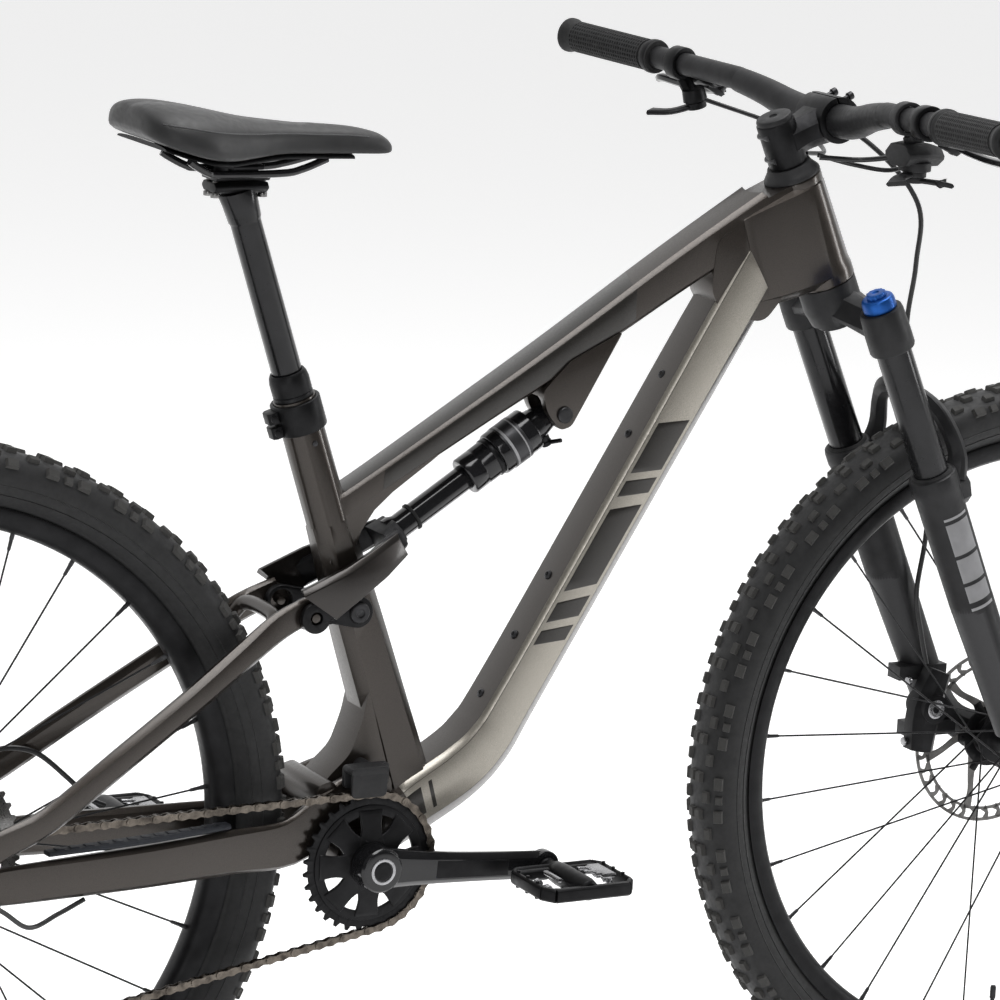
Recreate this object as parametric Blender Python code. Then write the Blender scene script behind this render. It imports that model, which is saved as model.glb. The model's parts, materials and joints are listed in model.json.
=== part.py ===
"""Full-suspension mountain bike with a carbon frame, 29 inch wheels and a four-bar rear end.

All sizes below are millimetres in bike coordinates: X forward from the rear axle, Y to the
rider's left, Z up from the ground.  Vertices are written in metres with X counted from the
middle of the wheelbase.
"""

import math

import bmesh
import bpy
from mathutils import Matrix, Vector

MM = 0.001

# Driving dimensions
WHEELBASE = 1187.0
WHEEL_R = 373.0
RIM_INNER_R = 298.2
GAP = 0.3                      # running clearance between neighbouring pieces
HUB_FRONT = 110.0              # over-locknut widths
HUB_REAR = 148.0
HEAD_ANGLE = math.radians(66.0)
SEAT_ANGLE = math.radians(71.1)
CRANK_LENGTH = 170.0
CRANK_DROP = math.radians(3.5)
CHAINLINE = -52.0
BAR_HALF = 390.0
FORK_TRAVEL = 124.0
DROPPER_TRAVEL = 140.0

REAR_AXLE = Vector((0.0, 0.0, WHEEL_R))
FRONT_AXLE = Vector((WHEELBASE, 0.0, WHEEL_R))
BB = Vector((437.7, 0.0, 336.7))

# Steering axis: a point near the front dropouts and its direction, with the square-on forward normal
STEER_BASE = Vector((1146.8, 0.0, 355.1))
STEER_UP = Vector((-math.cos(HEAD_ANGLE), 0.0, math.sin(HEAD_ANGLE)))
STEER_FWD = Vector((math.sin(HEAD_ANGLE), 0.0, math.cos(HEAD_ANGLE)))
LEG_OFFSET = 7.6               # fork legs stand this far ahead of the steering axis
LEG_Y = 75.0

# Seat tube axis: where it crosses the height of the bottom bracket
SEAT_BASE = BB + Vector((76.6, 0.0, 0.0))
SEAT_UP = Vector((-math.cos(SEAT_ANGLE), 0.0, math.sin(SEAT_ANGLE)))
SEAT_TUBE_R = 19.5
POST_R = 14.0
POST_FOOT = 288.0              # bottom of the dropper's stroke, measured up the seat tube

# Suspension pivots, all hinging about Y
MAIN_PIVOT = Vector((447.0, 0.0, 402.0))
HORST_PIVOT = Vector((42.0, 0.0, 352.0))
ROCKER_PIVOT = Vector((428.0, 0.0, 568.0))
STAY_PIVOT = Vector((376.0, 0.0, 570.0))
SHOCK_EYE = Vector((636.0, 0.0, 739.5))
SHOCK_DIR = (STAY_PIVOT - SHOCK_EYE).normalized()
SHOCK_LENGTH = 210.0

# Derailleur
CHAIN_COG_Y = -62.2
GUIDE_PULLEY = Vector((30.0, CHAIN_COG_Y, 283.0))
TENSION_PULLEY = Vector((46.0, CHAIN_COG_Y, 227.0))
PULLEY_R = 21.0
COG_R = 20.0

BAR_CENTRE = Vector((915.0, 0.0, 1008.0))
BAR_END = Vector((852.7, BAR_HALF, 1039.9))
GRIP_START_Y = 252.0
PEDAL_X = BB.x + CRANK_LENGTH * math.cos(CRANK_DROP)
PEDAL_Z = BB.z - CRANK_LENGTH * math.sin(CRANK_DROP)

AXIS_Y = Vector((0.0, 1.0, 0.0))
MIRROR_Y = Matrix.Diagonal((1.0, -1.0, 1.0, 1.0))


# ---------------------------------------------------------------- materials and bookkeeping

PAINTS = {
    "frame_paint": ((0.13, 0.105, 0.085, 1.0), 0.32, 0.55),
    "black_alloy": ((0.022, 0.022, 0.024, 1.0), 0.45, 0.6),
    "black_gloss": ((0.012, 0.012, 0.014, 1.0), 0.12, 0.5),
    "black_plastic": ((0.025, 0.025, 0.027, 1.0), 0.5, 0.0),
    "rubber_black": ((0.03, 0.03, 0.03, 1.0), 0.8, 0.0),
    "tyre_black": ((0.035, 0.035, 0.036, 1.0), 0.85, 0.0),
    "saddle_cover": ((0.03, 0.03, 0.032, 1.0), 0.55, 0.0),
    "steel": ((0.45, 0.45, 0.46, 1.0), 0.3, 1.0),
    "chain_steel": ((0.42, 0.37, 0.31, 1.0), 0.33, 1.0),
    "blue_alloy": ((0.02, 0.12, 0.45, 1.0), 0.3, 0.7),
    "hose_black": ((0.015, 0.015, 0.016, 1.0), 0.4, 0.0),
}
BODY_PIVOTS = {
    "front_frame": Vector((WHEELBASE / 2, 0.0, 0.0)),
    "crankset": BB,
    "seatpost_upper": SEAT_BASE + SEAT_UP * 600.0,
    "steering": STEER_BASE + STEER_UP * 545.0,
    "fork_lower": STEER_BASE + STEER_UP * 349.0,
    "front_wheel": FRONT_AXLE,
    "swingarm": MAIN_PIVOT,
    "seatstays": HORST_PIVOT,
    "rear_wheel": REAR_AXLE,
    "cassette_body": REAR_AXLE,
    "cage": GUIDE_PULLEY,
    "guide_pulley": GUIDE_PULLEY,
    "tension_pulley": TENSION_PULLEY,
    "rocker": ROCKER_PIVOT,
    "shock_body": SHOCK_EYE,
    "shock_shaft": STAY_PIVOT,
    "pedal_r": Vector((PEDAL_X, -85.0, PEDAL_Z)),
    "pedal_l": Vector((2 * BB.x - PEDAL_X, 85.0, 2 * BB.z - PEDAL_Z)),
}
EMPTIES = {}
MATERIALS = {}


def clear_scene():
    for thing in list(bpy.data.objects):
        bpy.data.objects.remove(thing, do_unlink=True)


def world(point):
    """Bike millimetres to world metres."""
    return Vector(((point[0] - WHEELBASE / 2) * MM, point[1] * MM, point[2] * MM))


def paint(name):
    if name not in MATERIALS:
        colour, roughness, metallic = PAINTS[name]
        material = bpy.data.materials.new(name)
        material.use_nodes = True
        shader = material.node_tree.nodes["Principled BSDF"]
        shader.inputs["Base Color"].default_value = colour
        shader.inputs["Roughness"].default_value = roughness
        shader.inputs["Metallic"].default_value = metallic
        material.diffuse_color = colour
        MATERIALS[name] = material
    return MATERIALS[name]


def body_empty(body):
    """The empty on a body's joint axis that its pieces hang from."""
    if body not in EMPTIES:
        empty = bpy.data.objects.new(body + "_pivot", None)
        empty.location = world(BODY_PIVOTS[body])
        bpy.context.scene.collection.objects.link(empty)
        EMPTIES[body] = empty
    return EMPTIES[body]


# ---------------------------------------------------------------- solid builders (bike millimetres)

def finish_mesh(bm):
    bmesh.ops.recalc_face_normals(bm, faces=bm.faces)
    return bm


def loft(rings):
    """Closed solid skinned over rings that all have the same number of points."""
    bm = bmesh.new()
    rows = [[bm.verts.new(point) for point in ring] for ring in rings]
    count = len(rows[0])
    for low, high in zip(rows, rows[1:]):
        for i in range(count):
            j = (i + 1) % count
            bm.faces.new((low[i], low[j], high[j], high[i]))
    bm.faces.new(rows[0])
    bm.faces.new(rows[-1])
    return finish_mesh(bm)


def plate(outline, y0, y1):
    """Prism of an (x, z) outline between two Y planes."""
    return loft([[Vector((x, y, z)) for x, z in outline] for y in (y0, y1)])


def box(centre, size):
    cx, cy, cz = centre
    hx, hy, hz = (s / 2 for s in size)
    return plate([(cx - hx, cz - hz), (cx + hx, cz - hz), (cx + hx, cz + hz), (cx - hx, cz + hz)],
                 cy - hy, cy + hy)


def square_to(axis):
    """Two unit vectors square to an axis."""
    axis = axis.normalized()
    helper = Vector((0, 0, 1)) if abs(axis.z) < 0.9 else Vector((1, 0, 0))
    first = axis.cross(helper).normalized()
    return first, axis.cross(first)


def sides_for(radius):
    """Facets round a circle of this radius, the same for a shaft and the bore it runs in."""
    for limit, sides in ((6.0, 8), (13.0, 12), (32.0, 16), (70.0, 24)):
        if radius < limit:
            return sides
    return 28


def circle(centre, axis, radius, sides):
    first, second = square_to(axis)
    return [centre + (first * math.cos(a) + second * math.sin(a)) * radius
            for a in (2 * math.pi * i / sides for i in range(sides))]


def rod(start, end, r0, r1=None, sides=None):
    start, end = Vector(start), Vector(end)
    axis = end - start
    sides = sides or sides_for(r0)
    return loft([circle(start, axis, r0, sides), circle(end, axis, r0 if r1 is None else r1, sides)])


def across(point, y0, y1, radius):
    """Rod along Y through an (x, z) place."""
    return rod((point[0], y0, point[2]), (point[0], y1, point[2]), radius)


def turned(profile, centre, axis, sides=None):
    """Solid of revolution of a closed (radius, along) loop that stays off the axis."""
    bm = bmesh.new()
    sides = sides or sides_for(max(r for r, _ in profile))
    first, second = square_to(axis)
    axis = axis.normalized()
    rows = []
    for i in range(sides):
        a = 2 * math.pi * i / sides
        out = first * math.cos(a) + second * math.sin(a)
        rows.append([bm.verts.new(centre + out * r + axis * h) for r, h in profile])
    count = len(profile)
    for i in range(sides):
        row, following = rows[i], rows[(i + 1) % sides]
        for j in range(count):
            k = (j + 1) % count
            bm.faces.new((row[j], following[j], following[k], row[k]))
    return finish_mesh(bm)


def sleeve(start, end, inner, outer):
    start, end = Vector(start), Vector(end)
    length = (end - start).length
    return turned([(inner, 0), (outer, 0), (outer, length), (inner, length)], start, end - start)


def chamfered(width, depth, chamfer):
    """Outline with cut corners: width along the side vector, depth along the up vector."""
    w, d, c = width / 2, depth / 2, chamfer
    if c == 0:
        return [(w, -d), (w, d), (-w, d), (-w, -d)]
    return [(w, -d + c), (w, d - c), (w - c, d), (-w + c, d),
            (-w, d - c), (-w, -d + c), (-w + c, -d), (w - c, -d)]


def tangents(path):
    result = []
    for i in range(len(path)):
        before, after = path[max(i - 1, 0)], path[min(i + 1, len(path) - 1)]
        result.append((after - before).normalized())
    return result


def beam(path, sizes, side=AXIS_Y):
    """Tube with an eight-sided section along a path; sizes are (width, depth, chamfer)."""
    path = [Vector(point) for point in path]
    rings = []
    for point, tangent, size in zip(path, tangents(path), sizes):
        across_dir = (side - tangent * side.dot(tangent)).normalized()
        up = tangent.cross(across_dir)
        rings.append([point + across_dir * a + up * b for a, b in chamfered(*size)])
    return loft(rings)


def pipe(path, radii):
    """Round bar along a path, with one radius or a radius for each point."""
    path = [Vector(point) for point in path]
    if not isinstance(radii, (list, tuple)):
        radii = [radii] * len(path)
    sides = sides_for(max(radii))
    first, _ = square_to(tangents(path)[0])
    rings = []
    for point, tangent, radius in zip(path, tangents(path), radii):
        first = (first - tangent * first.dot(tangent)).normalized()
        second = tangent.cross(first)
        rings.append([point + (first * math.cos(a) + second * math.sin(a)) * radius
                      for a in (2 * math.pi * i / sides for i in range(sides))])
    return loft(rings)


def smooth_route(points, step):
    """Points at an even step along a Catmull-Rom curve through the chosen points."""
    points = [Vector(point) for point in points]
    ends = [points[0] * 2 - points[1]] + points + [points[-1] * 2 - points[-2]]
    fine = []
    for a, b, c, d in zip(ends, ends[1:], ends[2:], ends[3:]):
        for i in range(24):
            t = i / 24
            fine.append(0.5 * (2 * b + (c - a) * t + (2 * a - 5 * b + 4 * c - d) * t ** 2
                               + (3 * b - a - 3 * c + d) * t ** 3))
    fine.append(points[-1])
    length = sum((q - p).length for p, q in zip(fine, fine[1:]))
    count = max(2, round(length / step))
    spacing = length / count
    route = [fine[0]]
    travelled = 0.0
    for p, q in zip(fine, fine[1:]):
        travelled += (q - p).length
        if travelled >= spacing * len(route) and len(route) < count:
            route.append(q)
    route.append(fine[-1])
    return route


def mirrored(bm):
    """The same solid on the other side of the bike."""
    copy = bm.copy()
    bmesh.ops.transform(copy, matrix=MIRROR_Y, verts=copy.verts)
    return finish_mesh(copy)


def both(bm):
    return [bm, mirrored(bm)]


def spun(bm, centre, count):
    """Copies of a solid turned about a Y axis through centre."""
    copies = []
    for i in range(count):
        copy = bm.copy()
        turn = Matrix.Rotation(2 * math.pi * i / count, 4, 'Y')
        place = Matrix.Translation(centre) @ turn @ Matrix.Translation(-centre)
        bmesh.ops.transform(copy, matrix=place, verts=copy.verts)
        copies.append(copy)
    return copies


def temp_object(bm):
    mesh = bpy.data.meshes.new("shape")
    bmesh.ops.scale(bm, vec=(MM, MM, MM), verts=bm.verts)
    bm.to_mesh(mesh)
    bm.free()
    thing = bpy.data.objects.new("shape", mesh)
    bpy.context.scene.collection.objects.link(thing)
    return thing


def weld(solids, cuts=()):
    """One mesh: the union of the solids less the cuts, in metres but still in bike coordinates."""
    base = temp_object(solids[0])
    tools = []
    for operation, group in (('UNION', solids[1:]), ('DIFFERENCE', cuts)):
        for bm in group:
            tool = temp_object(bm)
            tools.append(tool)
            modifier = base.modifiers.new("weld", 'BOOLEAN')
            modifier.operation = operation
            modifier.solver = 'EXACT'
            modifier.object = tool
    bpy.context.view_layer.update()
    graph = bpy.context.evaluated_depsgraph_get()
    mesh = bpy.data.meshes.new_from_object(base.evaluated_get(graph))
    for thing in [base] + tools:
        bpy.data.objects.remove(thing, do_unlink=True)
    if tools:
        merge_flats(mesh)
    return mesh


def merge_flats(mesh):
    """Join the coplanar slivers that a union leaves."""
    bm = bmesh.new()
    bm.from_mesh(mesh)
    bmesh.ops.dissolve_limit(bm, angle_limit=math.radians(0.4), verts=bm.verts, edges=bm.edges)
    bmesh.ops.dissolve_degenerate(bm, dist=0.02 * MM, edges=bm.edges)
    bmesh.ops.triangulate(bm, faces=bm.faces)
    bm.to_mesh(mesh)
    bm.free()


def piece(name, body, material, solids, cuts=(), smooth_angle=34.0):
    """A named sub-part, parented to its body's empty."""
    mesh = weld(list(solids), cuts)
    mesh.name = name
    pivot = BODY_PIVOTS[body]
    mesh.transform(Matrix.Translation(-pivot * MM))
    mesh.materials.clear()
    mesh.materials.append(paint(material))
    thing = bpy.data.objects.new(name, mesh)
    bpy.context.scene.collection.objects.link(thing)
    thing.parent = body_empty(body)
    mesh.polygons.foreach_set("use_smooth", [True] * len(mesh.polygons))
    mesh.set_sharp_from_angle(angle=math.radians(smooth_angle))
    return thing


def hose(name, body, points, radius):
    """A held cable or hose: a round tube through hand-chosen points."""
    route = smooth_route(points, radius * 6.4)
    curve = bpy.data.curves.new(name, 'CURVE')
    curve.dimensions = '3D'
    curve.bevel_depth = radius * MM
    curve.bevel_resolution = 2
    curve.use_fill_caps = True
    spline = curve.splines.new('POLY')
    spline.points.add(len(route) - 1)
    pivot = BODY_PIVOTS[body]
    for control, point in zip(spline.points, route):
        control.co = (*((point - pivot) * MM), 1.0)
    curve.materials.append(paint("hose_black"))
    thing = bpy.data.objects.new(name, curve)
    bpy.context.scene.collection.objects.link(thing)
    thing.parent = body_empty(body)
    return thing


# ---------------------------------------------------------------- places shared by several pieces

def steer(along, forward=0.0, y=0.0):
    """A point on the steering axis, or ahead of it and to its side."""
    return STEER_BASE + STEER_UP * along + STEER_FWD * forward + AXIS_Y * y


def seat(along):
    return SEAT_BASE + SEAT_UP * along


def shock_at(distance):
    """A point on the shock's centre line, counted from its upper eye."""
    return SHOCK_EYE + SHOCK_DIR * distance


def bar_points():
    """Right half of the handlebar's centre line, from the clamp to the end."""
    end = Vector((BAR_END.x, BAR_END.y, BAR_END.z))
    bend = Vector((890.5, 160.0, 1030.0))
    return [BAR_CENTRE, BAR_CENTRE + AXIS_Y * 36.0, Vector((911.0, 62.0, 1012.0)),
            Vector((904.5, 92.0, 1020.0)), Vector((897.0, 126.0, 1026.5)), bend, end]


def bar_at(y):
    """Centre of the straight outer part of the bar at a given |y|, on the left."""
    points = bar_points()
    start, end = points[-2], points[-1]
    return start + (end - start) * ((y - start.y) / (end.y - start.y))


BAR_DIR = (bar_at(390.0) - bar_at(200.0)).normalized()


# ---------------------------------------------------------------- front frame

def build_frame():
    head_low, head_high = 545.0, 655.0
    head = rod(steer(head_low), steer(head_high), 29.0, 27.0)
    down_dir = Vector((0.5107, 0.0, 0.8598))
    down_foot = Vector((592.0, 0.0, 450.0))
    down = beam([BB + Vector((18, 0, 12)), (500, 0, 376), (548, 0, 403), (578, 0, 430),
                 down_foot + down_dir * 30, down_foot + down_dir * 250,
                 down_foot + down_dir * 440, (868, 0, 913)],
                [(60, 52, 16), (58, 60, 16), (54, 60, 14), (52, 56, 13), (50, 52, 12),
                 (50, 52, 12), (48, 54, 12), (42, 52, 12)])
    top = beam([(402, 0, 655), (450, 0, 684), (560, 0, 750), (640, 0, 797.5), (760, 0, 872.5), (872, 0, 937)],
               [(34, 40, 10), (34, 21, 7), (38, 25, 8), (40, 30, 8), (42, 36, 9), (46, 44, 11)])
    tube = rod(seat(70), seat(452), 21.0, SEAT_TUBE_R)
    lower_seat = beam([seat(50), seat(140), seat(240), seat(330)],
                      [(48, 50, 12), (42, 46, 12), (40, 43, 11), (39, 39, 11)])
    junction = plate([(449, 462), (432, 436), (425, 405), (424, 370), (438, 340), (480, 340),
                      (508, 372), (512, 436), (494, 458)], -22, 22)
    head_web = plate([(812, 866), (846, 812), (882, 841), (921, 856), (880, 948), (848, 948)], -20, 14)
    gusset = plate([(612, 762), (618, 742), (634, 724), (650, 728), (664, 744), (706, 818), (640, 790)],
                   -22, 22)
    solids = [head, down, top, tube, lower_seat, junction, head_web, gusset,
              across(BB, -36.5, 36.5, 24.0),
              across(ROCKER_PIVOT, -22.7, 22.7, 14.0),
              across(MAIN_PIVOT, -24.6, 24.6, 17.0)]
    cuts = [rod(steer(head_low - 5), steer(head_high + 5), 21.5),
            rod(steer(head_high), steer(head_high + 40), 48.0),
            rod(seat(POST_FOOT - 10), seat(470), 15.8),
            across(BB, -40, 40, 18.3),
            across(ROCKER_PIVOT, -40, 40, 7.8),
            across(MAIN_PIVOT, -40, 40, 7.8),
            beam([shock_at(-16), shock_at(40), shock_at(75)], [(27, 52, 4)] * 3)]
    bolt = [across(SHOCK_EYE, -24.5, 24.5, 5.0)] + both(across(SHOCK_EYE, 20.5, 25.5, 7.7))
    frame = piece("frame", "front_frame", "frame_paint", solids, cuts, 24.0)
    add_to(frame, bolt)


def add_to(thing, solids):
    """Unite more solids with a finished piece."""
    bm = bmesh.new()
    bm.from_mesh(thing.data)
    pivot = thing.parent.location + Vector((WHEELBASE / 2 * MM, 0, 0))
    bmesh.ops.translate(bm, vec=pivot, verts=bm.verts)
    bmesh.ops.scale(bm, vec=(1 / MM, 1 / MM, 1 / MM), verts=bm.verts)
    mesh = weld([bm] + list(solids))
    mesh.transform(Matrix.Translation(-pivot))
    mesh.materials.clear()
    mesh.materials.append(thing.data.materials[0])
    mesh.name = thing.name
    thing.data = mesh
    mesh.polygons.foreach_set("use_smooth", [True] * len(mesh.polygons))
    mesh.set_sharp_from_angle(angle=math.radians(24.0))


def build_frame_fittings():
    piece("bottom_bracket", "front_frame", "black_alloy",
          [turned([(12.4, -40.5), (21.5, -40.5), (21.5, -36.8), (18.0, -36.8), (18.0, 36.8),
                   (21.5, 36.8), (21.5, 40.5), (12.4, 40.5)], BB, AXIS_Y, 16)])
    clamp_low, clamp_high = seat(421), seat(450)
    rear = -Vector((math.sin(SEAT_ANGLE), 0, math.cos(SEAT_ANGLE)))
    lug = [box(seat(428) + rear * 26, (12, 16, 11)), box(seat(442) + rear * 26, (12, 16, 11))]
    clamp_bolts = [rod(seat(z) + rear * 27 + AXIS_Y * -9.5, seat(z) + rear * 27 + AXIS_Y * 9.5, 3.2)
                   for z in (428, 442)]
    piece("seat_clamp", "front_frame", "black_alloy",
          [sleeve(clamp_low, clamp_high, SEAT_TUBE_R - 2, 23.2)] + lug + clamp_bolts,
          [box(seat(435) + rear * 28, (12, 1.6, 44)), rod(seat(412), seat(458), SEAT_TUBE_R + GAP)])
    piece("dropper_outer", "front_frame", "black_alloy",
          [turned([(POST_R + GAP, POST_FOOT - 8), (15.45, POST_FOOT - 8), (15.45, 452.4), (18.4, 452.4),
                   (18.4, 470), (16.6, 477), (POST_R + GAP, 477)], SEAT_BASE, SEAT_UP, 16)])
    guide_bolt = Vector((484, 0, 430))
    piece("chain_guide", "front_frame", "black_plastic",
          [box((471, -43.2, 424), (40, 5, 14)),
           across(guide_bolt, -24.6, -45, 7.0),
           box((436, -43.2, 418), (46, 5, 22)),
           box((432, -52, 426), (38, 18, 7)),
           box((432, -59.2, 414), (36, 3.4, 26))])


# ---------------------------------------------------------------- seatpost and saddle

SADDLE_STATIONS = [
    # x, half width, top z, underside z
    (194, 32, 1027, 1012), (199, 50, 1031, 1006), (210, 63, 1033, 1000), (228, 70, 1032.5, 993),
    (252, 69, 1029, 987), (278, 57, 1024, 984), (306, 43, 1018.5, 985), (335, 33, 1015, 987),
    (370, 26, 1011.5, 986), (410, 21, 1008, 984.5), (436, 17.5, 1002.5, 983.5), (448, 13, 997, 984),
    (453.5, 6, 991, 985),
]


def saddle_ring(x, half, top, under, sides=12):
    """Rounded top and flat underside; the flanks drop to the underside."""
    height = top - under
    ring = []
    for i in range(sides + 1):
        a = math.pi * i / sides
        lift = math.sin(a) ** 0.62
        ring.append(Vector((x, half * math.cos(a), under + height * lift)))
    return ring


def build_saddle():
    cradle = Vector((302, 0, 956.4))
    piece("dropper_stanchion", "seatpost_upper", "black_gloss",
          [rod(seat(POST_FOOT + DROPPER_TRAVEL), seat(628), POST_R),
           rod(seat(622), seat(652), 15.2, 18.0),
           beam([cradle - Vector((26, 0, 0)), cradle + Vector((26, 0, 0))], [(36, 12, 4)] * 2)])
    rail_z = 970.0
    clamp = [beam([(276, 0, 965.8), (328, 0, 965.8)], [(34, 6, 2)] * 2),
             beam([(287, 0, 976.4), (317, 0, 976.4)], [(54, 5, 1.6)] * 2),
             box((302, 0, 971.5), (30, 30, 8))]
    piece("saddle_clamp", "seatpost_upper", "black_alloy", clamp)
    rail = [(243, 30, 983.5), (250, 28, 979), (264, 24, 972), (276, 22, rail_z), (336, 22, rail_z),
            (358, 19, 973), (384, 13, 980.5)]
    shell_rings = [[Vector((p.x, p.y * 0.86, p.z)) for p in saddle_ring(x, half, under - GAP, under - 4.5)]
                   for x, half, _, under in SADDLE_STATIONS[2:10]]
    rails = both(pipe(smooth_route(rail, 26), 3.5))
    piece("saddle_base", "seatpost_upper", "black_plastic", [loft(shell_rings)] + rails)
    pad = loft([saddle_ring(*station) for station in SADDLE_STATIONS])
    piece("saddle_pad", "seatpost_upper", "saddle_cover", [pad], (), 60.0)


# ---------------------------------------------------------------- fork and cockpit

def leg(along, forward=0.0, side=1.0):
    return steer(along, LEG_OFFSET + forward, side * LEG_Y)


CROWN_TOP = 524.0
CROWN_BASE = 482.0
SEAL_TOP = 347.0
STANCHION_OVERLAP = 80.0         # length of stanchion inside the lowers at rest


def build_fork():
    steerer = pipe([steer(500), steer(545), steer(610), steer(716)], [20.0, 19.0, 14.3, 14.3])
    race = rod(steer(505), steer(544.7), 25.0, 28.5)
    arms = []
    for side in (1.0, -1.0):
        arms.append(beam([steer(524, 2, side * 4), steer(513, 6, side * 32), leg(502, 0, side)],
                         [(46, 34, 12), (40, 30, 11), (34, 34, 10)], side=STEER_FWD))
        arms.append(rod(leg(CROWN_BASE, 0, side), leg(CROWN_TOP, 0, side), 22.0, 21.0))
    foot = SEAL_TOP - STANCHION_OVERLAP
    stanchions = [rod(leg(foot, 0, side), leg(495, 0, side), 17.0) for side in (1.0, -1.0)]
    air_cap = rod(leg(CROWN_TOP - 2), leg(CROWN_TOP + 8), 14.0, 12.0)
    piece("fork_upper", "steering", "black_alloy", [steerer, race] + arms + stanchions + [air_cap])
    BODY_PIVOTS["fork_dial"] = leg(CROWN_TOP, 0, -1)
    piece("fork_knob", "fork_dial", "blue_alloy",
          [rod(leg(CROWN_TOP + 0.4, 0, -1), leg(CROWN_TOP + 13, 0, -1), 16.0, 15.0),
           rod(leg(CROWN_TOP + 12, 0, -1), leg(CROWN_TOP + 18, 0, -1), 10.5, 9.5)])

    legs = []
    hollows = []
    foot_room = foot - FORK_TRAVEL - 2
    for side in (1.0, -1.0):
        legs += [rod(leg(205, 0, side), leg(SEAL_TOP, 0, side), 22.0, 23.8),
                 rod(leg(60, 3, side), leg(210, 0, side), 19.0, 22.0),
                 beam([leg(80, 3, side), leg(30, 14, side), steer(0, 40, side * 66)],
                      [(34, 34, 10), (34, 30, 9), (22, 38, 10)]),
                 across(FRONT_AXLE, side * 55.3, side * 78, 17.0)]
        hollows.append(rod(leg(foot_room, 0, side), leg(SEAL_TOP + 5, 0, side), 17.3))
    arch_path = [leg(330, 22, 1.0), leg(352, 36, 0.93), leg(385, 40, 0.72), leg(402, 38, 0.4),
                 leg(404, 38, 0.0), leg(402, 38, -0.4), leg(385, 40, -0.72), leg(352, 36, -0.93),
                 leg(330, 22, -1.0)]
    arch = beam(arch_path, [(18, 26, 5), (15, 22, 5), (14, 20, 5), (14, 20, 5), (14, 20, 5),
                            (14, 20, 5), (14, 20, 5), (15, 22, 5), (18, 26, 5)], side=STEER_FWD)
    feet = [beam([leg(322, 12, side), leg(318, 30, side)], [(26, 36, 7), (22, 30, 6)])
            for side in (1.0, -1.0)]
    axle = across(FRONT_AXLE, -74, 82, 7.5)
    ends = [across(FRONT_AXLE, 76, 84, 10.0)]
    brake_tabs = [box((x, 66, z), (56, 21.4, 14)) for x, z in ((1126, 380), (1110, 440))]
    piece("fork_lowers", "fork_lower", "black_alloy",
          legs + [arch] + feet + [axle] + ends + brake_tabs, hollows)
    rotor_y = 39.6
    caliper = [beam([(1099, rotor_y - 1, 366), (1103, rotor_y - 1, 408), (1116, rotor_y - 1, 446)],
                    [(31, 26, 7), (32, 32, 8), (31, 24, 7)]),
               across((1106, 0, 410), rotor_y - 18, rotor_y + 15.2, 14.5)]
    slot = turned([(62, rotor_y - 2.2), (96, rotor_y - 2.2), (96, rotor_y + 2.2), (62, rotor_y + 2.2)],
                  Vector((WHEELBASE, 0, WHEEL_R)), AXIS_Y, 32)
    piece("front_caliper", "fork_lower", "black_alloy", caliper, [slot])


def build_stem():
    low, high = 668.0, 712.0
    centre = (low + high) / 2
    body = [rod(steer(low), steer(high), 18.5),
            beam([steer(centre, 6), steer(centre, 40)], [(38, 38, 9), (42, 34, 8)]),
            across(BAR_CENTRE, -23, 23, 22.0),
            rod(steer(711), steer(717.5), 17.5, 15.5)]
    bolts = [rod(BAR_CENTRE + STEER_FWD * 8 + STEER_UP * z + AXIS_Y * y,
                 BAR_CENTRE + STEER_FWD * 26 + STEER_UP * z + AXIS_Y * y, 3.5)
             for y in (-14, 14) for z in (-20, 14)]
    cuts = [rod(steer(low - 3), steer(716.4), 14.8),
            across(BAR_CENTRE, -40, 40, 16.2)]
    piece("stem", "steering", "black_alloy", body + bolts, cuts)
    piece("headset_cover", "steering", "black_plastic",
          [turned([(15.0, 655.5), (27.5, 655.5), (26.5, 659), (20.5, 667.6), (15.0, 667.6)],
                  STEER_BASE, STEER_UP, 18)])
    right = [Vector((p.x, -p.y, p.z)) for p in bar_points()[1:]]
    path = list(reversed(right)) + bar_points()
    radii_half = [15.9, 15.9, 15.0, 13.4, 12.2, 11.1, 11.1]
    radii = list(reversed(radii_half[1:])) + radii_half
    piece("handlebar", "steering", "black_alloy", [pipe(path, radii)])
    for name, flip in (("grip_left", False), ("grip_right", True)):
        start, end = bar_at(GRIP_START_Y), bar_at(BAR_HALF - 1.0)
        length = (end - start).length
        profile = [(11.4, 0), (16.5, 0), (16.5, 10), (15.2, 14), (15.8, length * 0.5), (15.6, length - 12),
                   (17.4, length - 4), (16.8, length), (11.4, length)]
        grip = turned(profile, start, BAR_DIR)
        piece(name, "steering", "rubber_black", [mirrored(grip) if flip else grip])


LEVER_DIR = Vector((0.86, 0.0, -0.51))      # from the bar towards the brake levers
LEVER_UP = Vector((0.51, 0.0, 0.86))        # the brake levers' pivot axis
THUMB_DIR = Vector((-0.954, 0.0, -0.30))    # back towards the thumb, square to UNDER_DIR
UNDER_DIR = Vector((0.30, 0.0, -0.954))     # from the bar towards the thumb controls


def brake_pivot():
    return bar_at(206.0) + LEVER_DIR * 44.0


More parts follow.
